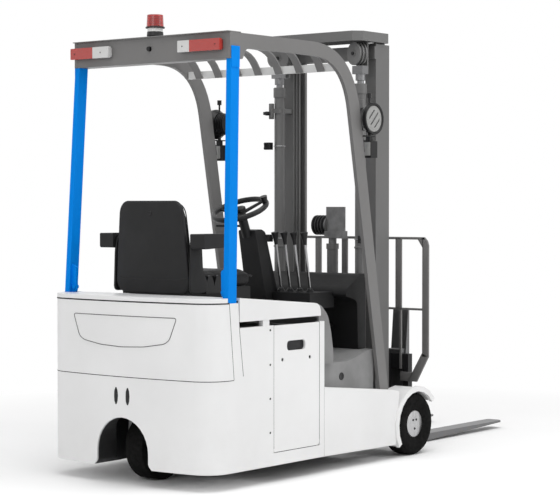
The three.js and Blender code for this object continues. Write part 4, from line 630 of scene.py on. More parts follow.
# %% Finishes of the model's pieces
finish_of = {
    white_enamel: "tail_cover tail_deck hood side_beam_left side_beam_right "
    "battery_door_left battery_door_right",
    white_casting: "counterweight",
    blue_enamel: "guard_post_left guard_post_right",
    grey_enamel: "guard_rear_beam guard_rail_left guard_rail_right load_backrest",
    grille_highlight_enamel: "guard_grille",
    mast_enamel: "outer_mast middle_mast inner_mast lift_crosshead lift_cylinder_left "
    "lift_cylinder_right free_lift_cylinder",
    black_enamel: "carriage tilt_barrel_left tilt_barrel_right",
    grey_plastic: "floor_step knee_panel",
    cowl_plastic: "front_cowl",
    black_plastic: "steering_column pedals seat_base armrest_left armrest_right "
    "control_levers",
    beacon_foot: "beacon_base",
    smooth_plastic: "steering_wheel work_lamp_left work_lamp_right",
    dark_casting: "chassis_frame drive_motor",
    head_casting: "free_lift_head",
    grey_casting: "drive_bracket",
    battery_steel: "battery",
    chrome_rod: "tilt_rod_left tilt_rod_right",
    dull_rod: "lift_rod_left lift_rod_right",
    fork_steel: "fork_left fork_right",
    bright_steel: "front_hub_left front_hub_right",
    front_rubber: "front_tyre_left front_tyre_right",
    drive_rubber: "drive_wheel",
    beacon_glass: "beacon_lens",
    left_tail_lens: "rear_lamp_left",
    right_tail_lens: "rear_lamp_right",
}
print("finishes:", len(finish_of))

# %% [markdown]
# The solids come as loose flat triangles, so three steps make them look machined: Weld joins the
# triangles, Bevel rounds the sharp edges by a millimetre or two so that they catch the light, and
# smooth faces with hardened normals keep the flats flat.

# %% Dressing the pieces
PLAIN_BEVEL = 0.0015
BEVEL_WIDTH = {
    "counterweight": 0.005,
    "hood": 0.004,
    "tail_deck": 0.004,
    "tail_cover": 0.003,
    "armrest_left": 0.007,
    "armrest_right": 0.007,
}
WELD_REACH = 0.00002
BEVEL_ANGLE = math.radians(32)


def dress(node, material):
    """Give a CAD piece one finish, welded smooth faces, and rounded edges."""
    piece = nodes[node]
    piece.data.materials.clear()
    piece.data.materials.append(material)
    piece.data.polygons.foreach_set("use_smooth", np.ones(len(piece.data.polygons), dtype=bool))
    if "custom_normal" in piece.data.attributes:
        piece.data.attributes.remove(piece.data.attributes["custom_normal"])
    piece.modifiers.new("weld", "WELD").merge_threshold = WELD_REACH
    bevel = piece.modifiers.new("bevel", "BEVEL")
    bevel.width = BEVEL_WIDTH.get(node, PLAIN_BEVEL)
    bevel.segments = 2
    bevel.limit_method = "ANGLE"
    bevel.angle_limit = BEVEL_ANGLE
    bevel.harden_normals = True


for material, names in finish_of.items():
    for node in names.split():
        dress(node, material)
left_out = sorted(set(nodes) - set(" ".join(finish_of.values()).split()))
print("still without a finish:", left_out)

# %% [markdown]
# The seat has two stuffed pads and a hard shell behind the upper one. Its cover is vinyl: a fine
# pebbled grain, soft creases where it is slack, and a little more gloss where it is rubbed.

# %% Seat cover
def seat_cloth(name):
    """Vinyl: pebbled grain, soft creases from a wide noise, and a sheen where it is rubbed."""
    material, tree, shader = start_material(name, specular_ior_level=0.22, sheen_weight=0.03)
    place = object_place(tree)
    rubbed = spread(tree, noise(tree, place, 7.0, 5.0), 0.0, 1.0, 0.4, 0.7)
    paint = blend_colours(tree, rubbed, (0.009, 0.009, 0.0095, 1.0), (0.015, 0.015, 0.0155, 1.0))
    tree.links.new(paint, shader.inputs["Base Color"])
    rough = spread(tree, rubbed, 0.66, 0.5, 0.0, 1.0)
    tree.links.new(rough, shader.inputs["Roughness"])
    creased = raise_surface(tree, shader, noise(tree, place, 26.0, 3.0), 0.0012, 0.4)
    raise_surface(tree, shader, pebbles(tree, place, 1100.0), 0.00015, 0.6, creased)
    return material


seat_vinyl = seat_cloth("seat_vinyl")
print("seat cover:", seat_vinyl.name)

# %% [markdown]
# A pad starts as a pillow a little smaller than its cover, and is blown up: pressure pushes the
# cover out until it pulls back. How far a point may move is capped, because a foam pad is firm.

# %% Pillow
PAD_VOXEL = 0.0055
PAD_CAP = 0.008
PAD_PRESSURE = 4.0
PAD_FRAMES = 20
SEAM_DEPTH = 0.0045
SEAM_WIDTH = 0.005


def pillow(centre, size, power=0.28, rings=36, sides=72):
    """A box with soft edges: each direction is half the size times a cosine or sine to `power`."""
    swing = np.linspace(-math.pi / 2, math.pi / 2, rings)[:, None]
    turn = np.linspace(-math.pi, math.pi, sides, endpoint=False)[None]

    def soft(values):
        return np.sign(values) * np.abs(values) ** power

    flat = soft(np.cos(swing))
    height = soft(np.sin(swing)) * np.ones_like(turn)
    points = np.stack([flat * soft(np.cos(turn)), flat * soft(np.sin(turn)), height], axis=-1)
    return np.asarray(centre) + points * np.asarray(size) / 2


def vertex_array(mesh, what="co"):
    values = np.empty(len(mesh.vertices) * 3)
    mesh.vertices.foreach_get(what, values)
    return values.reshape(-1, 3)


def take_modifiers(piece):
    """Replace the piece's mesh by what its modifiers make of it, and remove them."""
    graph = bpy.context.evaluated_depsgraph_get()
    mesh = bpy.data.meshes.new_from_object(piece.evaluated_get(graph))
    piece.modifiers.clear()
    piece.data = mesh


print("pillow ready")

# %% [markdown]
# Cloth does the stuffing. The pillow is cut into even squares, because cloth stretches evenly only
# where its squares are alike. Sewn channels come after it, since the cutting would wipe them out.

# %% Stuffing and sewing
def stuff(piece):
    """Blow a closed skin up as cloth, frame by frame; no point moves further than the cap."""
    cut = piece.modifiers.new("even_squares", "REMESH")
    cut.mode = "VOXEL"
    cut.voxel_size = PAD_VOXEL
    take_modifiers(piece)
    start = vertex_array(piece.data)
    cloth = piece.modifiers.new("stuffing", "CLOTH")
    cloth.settings.use_pressure = True
    cloth.settings.uniform_pressure_force = PAD_PRESSURE
    cloth.settings.effector_weights.gravity = 0.0
    scene = bpy.context.scene
    for step in range(1, PAD_FRAMES + 1):
        scene.frame_set(step)
    take_modifiers(piece)
    scene.frame_set(1)
    move = vertex_array(piece.data) - start
    reach = np.linalg.norm(move, axis=1, keepdims=True)
    move *= np.minimum(1.0, PAD_CAP / np.maximum(reach, 1e-9))
    piece.data.vertices.foreach_set("co", (start + move).ravel())
    print(piece.name, "points:", len(start), "pushed, before the cap:", round(reach.max(), 3), "m")


def sew(piece, lines, axis, facing):
    """Press sewn channels in: a point sinks by depth * exp(-(distance / width) squared)."""
    points = vertex_array(piece.data)
    normals = vertex_array(piece.data, "normal")
    away = points[:, axis][:, None] - np.asarray(lines)[None]
    sink = np.exp(-((away / SEAM_WIDTH) ** 2)).sum(axis=1)
    share = np.clip(normals @ np.asarray(facing), 0.0, 1.0)
    points -= normals * (SEAM_DEPTH * sink * share)[:, None]
    piece.data.vertices.foreach_set("co", points.ravel())
    piece.data.polygons.foreach_set("use_smooth", np.ones(len(piece.data.polygons), dtype=bool))
    smooth = piece.modifiers.new("smooth", "SUBSURF")
    smooth.levels = smooth.render_levels = 1


def finish_pad(piece, node, lines, axis, facing):
    """Stuff and sew a pad, and let it stand for the model's plain block."""
    stuff(piece)
    sew(piece, lines, axis, facing)
    fit(piece, "hood")
    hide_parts(node)


# %% [markdown]
# The cushion's front edge rolls down, and the seat dips a little where the driver sits. Both are
# shifts of the pillow's upper side before it is stuffed: the dip is a bell curve in two directions.

# %% Seat cushion
cushion_low, cushion_high = (np.array(v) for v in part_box("seat_cushion"))
cushion_middle = (cushion_low + cushion_high) / 2
cushion_size = cushion_high - cushion_low - (0.020, 0.018, 0.012)
cushion_skin = pillow(cushion_middle + (0.002, 0.0, -0.001), cushion_size)
fore = np.clip((cushion_skin[..., 0] - cushion_low[0]) / (cushion_high[0] - cushion_low[0]), 0, 1)
dip = np.exp(-(((fore - 0.45) / 0.3) ** 2)) * np.exp(-((cushion_skin[..., 1] / 0.13) ** 2))
upper = cushion_skin[..., 2] > cushion_middle[2]
cushion_skin[..., 2] -= upper * (0.012 * dip + 0.016 * np.clip(fore - 0.8, 0, 1) * 5)
pillow_faces = grid_faces(*cushion_skin.shape[:2], wrap_columns=True)
cushion = put_mesh("cushion_pad", cushion_skin, pillow_faces, seat_vinyl)
finish_pad(cushion, "seat_cushion", (-0.155, 0.155), 1, UP)

# %% [markdown]
# The back narrows towards its top, leans to the rear, and is thickest at the small of the
# driver's back. The taper is one function of the height, so the pad, its piping and the shell
# share it and stay together.

# %% Seat back
back_low, back_high = (np.array(v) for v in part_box("seat_back"))
BACK_LEAN = 0.016 / 0.424  # metres to the rear for each metre up
SHELL_DEPTH = 0.026


def back_taper(points):
    """The back narrows towards its top and leans: y shrinks, and x falls, with the height."""
    points = points.copy()
    up = points[..., 2] - back_low[2]
    share = np.clip((up - 0.08) / 0.344, 0.0, 1.0)
    points[..., 1] *= 1.0 - 0.165 * share**1.15
    points[..., 0] -= BACK_LEAN * up
    return points


def lumbar_bulge(height):
    """How far the pad stands forward: most below 1.03 m, and less above it."""
    return 0.010 * np.clip((1.03 - height) / 0.08, -0.4, 0.6)


pad_rear = back_low[0] + 0.016 + SHELL_DEPTH
pad_front = back_high[0] - 0.004
back_size = (pad_front - pad_rear - 0.010, 0.448, back_high[2] - back_low[2] - 0.030)
back_centre = ((pad_front + pad_rear) / 2 + 0.001, 0.0, (back_low[2] + back_high[2]) / 2)
back_skin = pillow(back_centre, back_size, 0.3)
back_skin[..., 0] += lumbar_bulge(back_skin[..., 2])
back_pad = put_mesh("back_pad", back_taper(back_skin), pillow_faces, seat_vinyl)
finish_pad(back_pad, "seat_back", (1.065, 1.245), 2, FORWARD)

# %% [markdown]
# The shell behind the back is one moulded tray with big corners: a rounded outline carried through
# a short depth, with its rim rounded over. A shallow crease crosses its foot, and a plug closes the
# hole of the back's fixing.

# %% Seat shell
SHELL_FOOT_Z = 0.906
shell_rear = back_low[0] + 0.0165
shell_height = back_high[2] - SHELL_FOOT_Z - 0.002
shell_outline = rounded_outline(0.474, shell_height, 0.056, 10)
shell_outline += (0.0, (back_high[2] + SHELL_FOOT_Z) / 2)
shell_ends = (shell_rear, shell_rear + SHELL_DEPTH)
shell = loft("seat_shell", shell_outline, shell_ends, 0.011, black_plastic, "X", back_taper)
fit(shell, "hood")

crease_y = np.linspace(-0.222, 0.222, 24)
crease_z = back_low[2] + 0.042 + 0.010 * np.linspace(-1, 1, 24) ** 4
crease_path = np.column_stack([np.full(24, shell_rear + 0.0008), crease_y, crease_z])
crease = tube("shell_crease", back_taper(crease_path), 0.0022, smooth_plastic, FORWARD)
fit(crease, "hood")

PLUG = [(0, 0.0002), (0.006, 0.0004), (0.0075, 0.0026), (0.0105, 0.0026), (0.012, 0)]
plug_place = back_taper(np.array([[shell_rear - 0.0004, 0.0, back_high[2] - 0.062]]))
plug = lathe("shell_plug", plug_place, BACKWARD, PLUG, black_enamel)
fit(plug, "hood")
print("shell height:", round(shell_height, 3), "m")

# %% [markdown]
# A cord of piping covers the long seam of each pad. It is a thin tube round the pad's rim, and it
# follows the same bends as the pad.

# %% Piping
PIPING_POINTS = 160


def pipe_round(name, path, across):
    piping = tube(name, path, 0.0028, seat_vinyl, across, 8, closed=True)
    fit(piping, "hood")


rim = even_path(rounded_outline(0.449, 0.444, 0.05, 8), PIPING_POINTS, 2)
rim_x = rim[:, 0] + cushion_middle[0] + 0.002
rim_z = 0.9905 - 0.016 * np.clip((rim_x - cushion_high[0] + 0.1) / 0.1, 0, 1)
pipe_round("cushion_piping", np.column_stack([rim_x, rim[:, 1], rim_z]), UP)

rim = even_path(rounded_outline(0.440, 0.395, 0.05, 8), PIPING_POINTS, 2)
rim_z = rim[:, 1] + back_centre[2]
rim_x = pad_front - 0.017 + lumbar_bulge(rim_z)
pipe_round("back_piping", back_taper(np.column_stack([rim_x, rim[:, 0], rim_z])), FORWARD)
print("piping points:", 2 * PIPING_POINTS)

# %% [markdown]
# Rubber bellows beside the cushion hide the seat's slide: three folds in a row, whose crest is a
# sine made blunt by a power. At the side of the seat, a moulded cover over the hinge joins the
# back, the cushion and the armrest.

# %% Bellows and hinge covers
fold = np.linspace(0.0, 3.0, 61)
crest = 0.940 + 0.052 * np.abs(np.sin(math.pi * fold)) ** 0.7
for label, side in SIDES.items():
    outer_y, inner_y = side * 0.2365, side * 0.2115
    ridge = np.column_stack([-1.158 + 0.062 * fold, np.full(61, outer_y), crest])
    low = ridge * (1, 1, 0) + (0, 0, 0.905)
    inner = ridge * (1, 0, 1) + (0, inner_y, 0)
    base = low * (1, 0, 1) + (0, inner_y, 0)
    section = np.stack([low, ridge, inner, base], axis=1)
    ends = [np.repeat(section[i].mean(0)[None, None], 4, axis=1) for i in (0, -1)]
    section = np.concatenate([ends[0], section, ends[1]])
    faces = grid_faces(len(section), 4, wrap_columns=True)
    fit(put_mesh(f"seat_bellows_{label}", section, faces, smooth_plastic), "hood")

COVER_CORNERS = [
    (-1.292, 0.912), (-1.165, 0.912), (-1.160, 0.960), (-1.196, 1.010),
    (-1.205, 1.150), (-1.232, 1.188), (-1.268, 1.188), (-1.284, 1.120),
]
cover_outline = even_path(COVER_CORNERS, 64, 2)
for label, side in SIDES.items():
    ends = sorted((side * 0.2400, side * 0.2510))
    cover = loft(f"seat_hinge_cover_{label}", cover_outline, ends, 0.003, black_plastic, "Y")
    fit(cover, "hood")
print("folds in each bellows:", int(fold[-1]))

# %% [markdown]
# The body is made of panels that meet at thin seams, whose shade is painted: a dark cord laid half
# sunk along the panel's edge. The rear body's plan is two corner arcs and one long arc, so the
# same function gives the path of both rear seams.

# %% Seams of the rear body
HALF = 0.535
TAIL_R = 3.167
CORNER_R = 0.130
TAIL_MIDDLE_X = REAR_X + TAIL_R
CORNER_Y = HALF - CORNER_R
CORNER_X = TAIL_MIDDLE_X - math.sqrt((TAIL_R - CORNER_R) ** 2 - CORNER_Y**2)
TAIL_SWING = math.asin(CORNER_Y / (TAIL_R - CORNER_R))


def arc(x, y, radius, start, stop, count):
    turn = np.linspace(start, stop, count)
    return np.column_stack([x + radius * np.cos(turn), y + radius * np.sin(turn)])


def tail_path(front, height, inset):
    """Round the rear: side line, corner arc, long arc, corner arc, side line, in plan."""
    side = HALF - inset
    first, last = -math.pi + TAIL_SWING, math.pi - TAIL_SWING
    plan = np.concatenate(
        [
            [[front, -side]],
            arc(CORNER_X, -CORNER_Y, CORNER_R - inset, -math.pi / 2, first, 14),
            arc(TAIL_MIDDLE_X, 0.0, TAIL_R - inset, 2 * math.pi + first, last, 40)[1:-1],
            arc(CORNER_X, CORNER_Y, CORNER_R - inset, last, math.pi / 2, 14),
            [[front, side]],
        ]
    )
    return np.column_stack([plan, np.full(len(plan), height)])


print("rear arc: radius", TAIL_R, "corners:", CORNER_R)

# %% [markdown]
# Two seams run round the rear, one under the deck and one above the lower casting. Short upright
# seams edge the posts' panels and the side beam.

# %% Seam cords
# Both cord finishes are painted shade of gaps and edges: black for wide ones, grey for fine ones.
seam_shade = moulded("seam_shade", (0.012, 0.012, 0.012, 1.0), 0.7, 1400.0, 0.00003)
fine_seam_shade = moulded("fine_seam_shade", (0.09, 0.09, 0.09, 1.0), 0.7, 1400.0, 0.00003)
for name, path, thick in (
    ("deck_seam", tail_path(-1.3405, 0.8751, 0.0022), 0.0040),
    ("tail_seam", tail_path(-1.3065, 0.5151, 0.0010), 0.0020),
):
    fit(tube(name, path, thick, seam_shade), "chassis")
for label, side in SIDES.items():
    y = side * (HALF - 0.0012)
    post_rear = np.linspace((-1.3066, y, 0.517), (-1.3406, y, 0.873), 12)
    post_front = np.linspace((-1.2385, y, 0.530), (-1.2680, y, 0.757), 12)
    sill_y = y + side * 0.0008
    sill = np.linspace((-0.6055, sill_y, 0.428), (-0.6055, sill_y, 0.084), 12)
    for part, path, thick, rubber in (
        ("rear", post_rear, 0.0020, seam_shade),
        ("front", post_front, 0.0020, seam_shade),
        ("sill", sill, 0.0008, fine_seam_shade),
    ):
        seam = tube(f"post_seam_{part}_{label}", path, thick, rubber, LEFT, 8)
        fit(seam, "chassis")
print("seams: 2 round the rear, 6 upright")

# %% [markdown]
# The counterweight has a shallow bare recess, of which only the outline shows: a grey cord of
# painted shade on the tail's long arc. Two slots under it hold black blocks of painted shade.

# %% Recess and slot shade
plate_corners = [
    (-0.335, 0.806), (0.335, 0.806), (0.292, 0.700), (0.262, 0.682),
    (0.14, 0.664), (0.0, 0.658), (-0.14, 0.664), (-0.262, 0.682), (-0.292, 0.700),
]
plate_rim = even_path(plate_corners, 220, 2)
tail_x = TAIL_MIDDLE_X - np.sqrt(TAIL_R**2 - plate_rim[:, 0] ** 2)
plate_path = np.column_stack([tail_x - 0.0002, plate_rim])
recess = tube("plate_recess_shade", plate_path, 0.0018, fine_seam_shade, FORWARD, 8, closed=True)
fit(recess, "chassis")

# A black block just inside each slot is painted shade of the slot.
SLOT_SHADE_SIZE = (0.004, 0.0262, 0.0850)
for label, side in SIDES.items():
    place = (REAR_X + 0.0036, side * 0.0375, 0.423)
    shade_block = block(f"vent_slot_shade_{label}", place, SLOT_SHADE_SIZE, black_enamel, "X", 0.0128)
    fit(shade_block, "chassis")
print("recess outline:", len(plate_rim), "points")

# %% [markdown]
# Each battery door has a cord of painted shade along its gap, two locks, and a grip whose pocket
# is a black block of painted shade. The cord stays with the body; the locks and the pocket turn
# with the door. Screws, locks and plugs are turned profiles, each a list of radius and height.

# %% Doors
SCREW = [(0.0, 0.0016), (0.0030, 0.0016), (0.0054, 0.0008), (0.0058, -0.001)]
SCREW_Z = (0.735, 0.569, 0.406, 0.243)
LOCK = [
    (0.0, 0.0), (0.0018, 0.0), (0.0020, 0.0022), (0.0070, 0.0030),
    (0.0086, 0.0012), (0.0086, -0.005), (0, -0.005),
]
STEP_PLUG = [
    (0.0, 0.0010), (0.0150, 0.0010), (0.0175, 0.0024),
    (0.0195, 0.0016), (0.0200, -0.0010), (0.0, -0.0010),
]
POCKET_SHADE_SIZE = (0.166, 0.018, 0.064)
door_corners = [(-1.0082, 0.755), (-1.0082, 0.1442), (-0.6448, 0.1442), (-0.6448, 0.755)]
door_rim = even_path(door_corners, 150, 3, closed=False)
for label, side in SIDES.items():
    door = f"battery_door_{label}"
    out = (0, side, 0)
    gap_path = np.insert(door_rim, 1, side * (HALF - 0.0020), axis=1)
    gap_cord = tube(f"door_gap_shade_{label}", gap_path, 0.0019, seam_shade, LEFT, 8)
    fit(gap_cord, "chassis")
    screws = [(-1.0365, side * HALF, z) for z in SCREW_Z]
    screw = lathe(f"side_screws_{label}", screws, out, SCREW, black_enamel, 14)
    fit(screw, "chassis")
    locks = [(x, side * (HALF - 0.006), 0.587) for x in (-0.9415, -0.7235)]
    fit(lathe(f"door_locks_{label}", locks, out, LOCK, black_plastic, 20), door)
    # The black block at the back of the grip's pocket is painted shade.
    place = (-0.8335, side * 0.513, 0.652)
    pocket = block(f"grip_pocket_shade_{label}", place, POCKET_SHADE_SIZE, black_enamel, "Y", 0.02, 0.002)
    fit(pocket, door)
    place = (-0.3875, side * 0.4805, 0.462)
    plug = lathe(f"step_plug_{label}", place, out, STEP_PLUG, black_enamel)
    fit(plug, "chassis")
print("screws on each side:", len(SCREW_Z))

# %% [markdown]
# Lamps: a dark red core inside the beacon's red glass is painted shade of its inside. The round
# work lamps get a domed face of ribbed glass, and small screws hold the tail lamps.

# %% Lamp details
CORE = [(0.0, 0.001), (0.016, 0.001), (0.019, 0.02), (0.015, 0.050), (0, 0.052)]
LAMP_SCREW = [(0, 0.0010), (0.0028, 0.0010), (0.0040, -0.001)]
LAMP_SCREW_Y = (0.478, 0.300, -0.236, -0.440)
BEAM_PLUG = [(0, 0.0), (0.0105, 0.0), (0.0118, -0.004), (0, -0.004)]
DOME = [
    (0.0, 0.0036), (0.020, 0.0034), (0.040, 0.0028), (0.056, 0.0016),
    (0.0665, 0.0002), (0.0680, -0.002), (0, -0.002),
]
core = lathe("beacon_shade_core", (-1.2595, 0.0, 2.1953), UP, CORE, beacon_inner_shade)
fit(core, "chassis")
lamp_screws = [(-1.3318, y, 2.0835) for y in LAMP_SCREW_Y]
screw = lathe("tail_lamp_screws", lamp_screws, BACKWARD, LAMP_SCREW, black_enamel, 14)
fit(screw, "chassis")
plug = lathe("beam_plug", (-1.3115, 0.0, 2.086), BACKWARD, BEAM_PLUG, black_enamel)
fit(plug, "chassis")
for label, side in SIDES.items():
    place = (LAMP_X, side * 0.5350, LAMP_Z)
    glass = lathe(f"work_glass_{label}", place, (0, side, 0), DOME, lamp_face, 48)
    fit(glass, "chassis")
    place = (-0.2025, side * 0.505, 1.622)
    plate = block(f"marker_glass_{label}", place, (0.004, 0.044, 0.070), clear_lens, "X", 0.004)
    fit(plate, "chassis")
print("tail lamp screws:", len(lamp_screws))

# %% [markdown]
# In the cab, four bright rods rise from rubber boots and carry black flared knobs, and the
# steering wheel has a round button. All are turned profiles: one lathe call makes all four rods,
# because they differ only in where they stand.

# %% Cab details
KNOB = [
    (0, -0.006), (0.0095, -0.005), (0.0102, 0.006), (0.0125, 0.022), (0.0185, 0.048),
    (0.0205, 0.055), (0.0195, 0.0595), (0.012, 0.0610), (0, 0.0615),
]
BOOT = [
    (0, -0.013), (0.024, -0.013), (0.0225, -0.010), (0.0185, -0.008), (0.0195, -0.005),
    (0.0150, -0.002), (0.0160, 0.001), (0.0110, 0.005), (0.0078, 0.012), (0, 0.012),
]
HORN = [
    (0, 0.0160), (0.012, 0.0155), (0.024, 0.0130), (0.0295, 0.0085),
    (0.0305, 0.004), (0.030, -0.004), (0, -0.004),
]
LEVER_Y = np.array([-0.086, -0.146, -0.209, -0.276])
WHEEL_LEAN = math.radians(23)
lever_steel = ground_metal("lever_steel", (0.42, 0.42, 0.425), 0.38, (600.0, 600.0, 20.0))
lever_foot = np.column_stack([np.full(4, -0.3838), LEVER_Y, np.full(4, 0.897)])
lever_top = np.column_stack([np.full(4, -0.4252), LEVER_Y, np.full(4, 1.134)])
lever_way = unit(lever_top[0] - lever_foot[0])
lever_length = float(np.linalg.norm(lever_top[0] - lever_foot[0]))
rod = [(0, 0), (0.0068, 0), (0.0068, lever_length), (0, lever_length)]
fit(lathe("lever_rods", lever_foot, lever_way, rod, lever_steel, 16), "chassis")
knobs = lathe("lever_knobs", lever_top, lever_way, KNOB, smooth_plastic, 24)
fit(knobs, "chassis")
boots = lathe("lever_boots", lever_foot, UP, BOOT, smooth_plastic, 24)
fit(boots, "chassis")
wheel_axis = (-math.sin(WHEEL_LEAN), 0.0, math.cos(WHEEL_LEAN))
horn = lathe("horn_button", (-0.6155, 0.0, 1.309), wheel_axis, HORN, smooth_plastic, 32)
fit(horn, "steering_wheel")
print("lever length:", round(lever_length, 3), "m")

# %% [markdown]
# On the lift cylinders, black clamps hold the oil pipe, each with two bolts and a steel hoop round
# the cylinder. A flow valve with a union sits above them. These stay with the outer mast.

# %% Lift cylinder details
CYLINDER_R = 0.0306
CYLINDER_RING = [
    (CYLINDER_R, 0.0), (0.0331, 0.003), (0.0331, 0.009), (CYLINDER_R, 0.012),
    (0.028, 0.012), (0.028, 0.0), (CYLINDER_R, 0.0),
]
CLAMP_BOLT = [(0.0, 0.020), (0.0045, 0.020), (0.0055, 0.014), (0.0055, 0.0), (0.0, 0.0)]
UNION = [
    (0, 0.034), (0.009, 0.034), (0.009, 0.024), (0.0115, 0.022),
    (0.0115, 0.006), (0.009, 0.0), (0, 0.0),
]
CLAMP_SIZE = (0.034, 0.042, 0.040)
VALVE_SIZE = (0.020, 0.026, 0.086)
CYLINDER_X, CYLINDER_Y = 0.0615, 0.275


def circle(centre, radius, count, plane):
    """Points round a centre: radius * (cos a, sin a) along the two axes of the plane."""
    points = np.tile(np.asarray(centre, float), (count, 1))
    turn = np.linspace(0.0, 2 * math.pi, count, endpoint=False)
    points[:, plane[0]] += radius * np.cos(turn)
    points[:, plane[1]] += radius * np.sin(turn)
    return points


def pipe_clamp(tag, side, z):
    """A clamp beside the cylinder at one height, with its two bolts and its hoop."""
    x, y = CYLINDER_X - 0.044, side * (CYLINDER_Y + 0.044)
    name = f"pipe_clamp_{tag}"
    clamp = block(name, (x, y, z), CLAMP_SIZE, smooth_plastic, "Z", 0.005, 0.002)
    fit(clamp, "mast_outer")
    places = [(x - 0.012, y, z + dz) for dz in (-0.012, 0.012)]
    way = (-1.0, side * 0.35, 0.0)
    bolts = lathe(f"clamp_bolts_{tag}", places, way, CLAMP_BOLT, black_enamel, 6)
    fit(bolts, "mast_outer")
    path = circle((CYLINDER_X, side * CYLINDER_Y, z), 0.0315, 40, (0, 1))
    hoop = tube(f"clamp_hoop_{tag}", path, 0.0024, lever_steel, UP, 8, closed=True)
    fit(hoop, "mast_outer")


def flow_valve(label, side):
    """The valve block outside the cylinder, and its union."""
    place = (CYLINDER_X - 0.032, side * (CYLINDER_Y + 0.032), 1.850)
    valve = block(f"flow_valve_{label}", place, VALVE_SIZE, mast_enamel, "Z", 0.005, 0.003)
    fit(valve, "mast_outer")
    place = (CYLINDER_X - 0.040, side * (CYLINDER_Y + 0.040), 1.838)
    way = (-0.8, side * 0.6, 0.0)
    fitting = lathe(f"flow_union_{label}", place, way, UNION, black_enamel, 12)
    fit(fitting, "mast_outer")


print("clamp size:", CLAMP_SIZE, "valve size:", VALVE_SIZE)

# %% [markdown]
# At the head of the middle mast, a hexagon bolt and a washer close each chain sheave, and a lock
# nut holds the lift rod's end. These go up with the middle mast.

# %% Mast details
SHEAVE_BOLT = [(0, 0.010), (0.009, 0.010), (0.0105, 0.0085), (0.0105, 0.0)]
SHEAVE_WASHER = [(0, 0.0035), (0.017, 0.0035), (0.019, 0.0015), (0.019, -0.001), (0, -0.001)]
ROD_NUT = [
    (0.0182, 0.0), (0.0235, 0.0), (0.025, 0.0015), (0.025, 0.0165),
    (0.0235, 0.018), (0.0182, 0.018), (0.0182, 0.0),
]
SHEAVE_TURN = math.radians(20)


def rod_head(label, side):
    """The bolt and the washer of a chain sheave, and the lift rod's nut."""
    way = unit((-math.cos(SHEAVE_TURN), -side * math.sin(SHEAVE_TURN), 0.0))
    sheave = np.array([0.0455, side * 0.265, 2.139])
    place = sheave + way * 0.026
    bolt = lathe(f"sheave_bolt_{label}", place, way, SHEAVE_BOLT, black_enamel, 6)
    fit(bolt, "mast_middle")
    place = sheave + way * 0.0245
    washer = lathe(f"sheave_washer_{label}", place, way, SHEAVE_WASHER, mast_enamel, 28)
    fit(washer, "mast_middle")
    place = (CYLINDER_X, side * CYLINDER_Y, 2.012)
    nut = lathe(f"rod_nut_{label}", place, UP, ROD_NUT, mast_enamel, 6)
    fit(nut, "mast_middle")


for label, side in SIDES.items():
    places = [(CYLINDER_X, side * CYLINDER_Y, z) for z in (1.930, 1.968, 1.10)]
    rings = lathe(f"cylinder_rings_{label}", places, UP, CYLINDER_RING, mast_enamel)
    fit(rings, "mast_outer")
    for number, height in enumerate((1.658, 1.150)):
        pipe_clamp(f"{label}_{number}", side, height)
    flow_valve(label, side)
    rod_head(label, side)
print("lift cylinders at y:", CYLINDER_Y, "and", -CYLINDER_Y)

# %% [markdown]
# The load backrest is welded from flat bar. Each bar is a loft of its own outline, and they take
# the place of the model's single plate: two side bars with bent feet, thin top and middle rails,
# and upright bars between them.

# %% Load backrest
rest_x = tuple(v[0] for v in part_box("load_backrest"))
REST_TOP = 1.158
RAILS = {
    "top": [
        (-0.452, REST_TOP - 0.014), (0.452, REST_TOP - 0.014),
        (0.448, REST_TOP), (-0.448, REST_TOP),
    ],
    "middle": [(-0.432, 0.757), (0.432, 0.757), (0.432, 0.769), (-0.432, 0.769)],
}
SIDE_BARS = {
    "side": [
        (0.434, 0.505), (0.474, 0.505), (0.474, 1.112),
        (0.466, 1.138), (0.448, 1.156), (0.434, 1.157),
    ],
    "foot": [(0.340, 0.366), (0.398, 0.366), (0.474, 0.506), (0.434, 0.526)],
    "toe": [(0.290, 0.366), (0.345, 0.366), (0.376, 0.416), (0.290, 0.416)],
    "inner": [(0.257, 0.762), (0.296, 0.762), (0.296, 1.150), (0.257, 1.150)],
    "centre": [(0.072, 0.762), (0.110, 0.762), (0.110, 1.150), (0.072, 1.150)],
    "stay": [(0.284, 0.432), (0.296, 0.432), (0.296, 0.762), (0.284, 0.762)],
    "gusset": [(0.404, 1.146), (0.436, 1.100), (0.440, 1.100), (0.440, 1.150)],
}
flat_bars = dict(RAILS)
for label, side in SIDES.items():
    for part, corners in SIDE_BARS.items():
        flat_bars[f"{part}_{label}"] = [(side * y, z) for y, z in corners]
for part, corners in flat_bars.items():
    bar = loft(f"backrest_{part}", corners, rest_x, 0.0015, grey_enamel)
    fit(bar, "carriage")
    if part == "top":
        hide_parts("load_backrest")
print("backrest bars:", len(flat_bars))

# %% [markdown]
# Three socket screws hold each front hub, and a turned groove runs round its rim. The screws are
# one lathe profile at three angles; the groove's shade is painted, a thin dark tube sunk into the
# face.

# %% Wheel details
AXLE_X, AXLE_Z = 0.2165, 0.165
SOCKET = [
    (0, 0.0012), (0.0024, 0.0012), (0.0030, 0.0032), (0.0050, 0.0036),
    (0.0062, 0.0022), (0.0062, -0.001), (0, -0.001),
]
bolt_turn = np.radians([125, 55, 270])
bolt_x, bolt_z = AXLE_X + 0.026 * np.cos(bolt_turn), AXLE_Z + 0.026 * np.sin(bolt_turn)
for label, side in SIDES.items():
    body = f"front_wheel_{label}"
    places = np.column_stack([bolt_x, np.full(3, side * 0.5215), bolt_z])
    bolts = lathe(f"hub_bolts_{label}", places, (0, side, 0), SOCKET, black_enamel, 16)
    fit(bolts, body)
    path = circle((AXLE_X, side * 0.5196, AXLE_Z), 0.0705, 72, (0, 2))
    # The dark groove cord is painted shade of the groove.
    groove = tube(f"hub_groove_shade_{label}", path, 0.0016, black_enamel, LEFT, 8, closed=True)
    fit(groove, body)
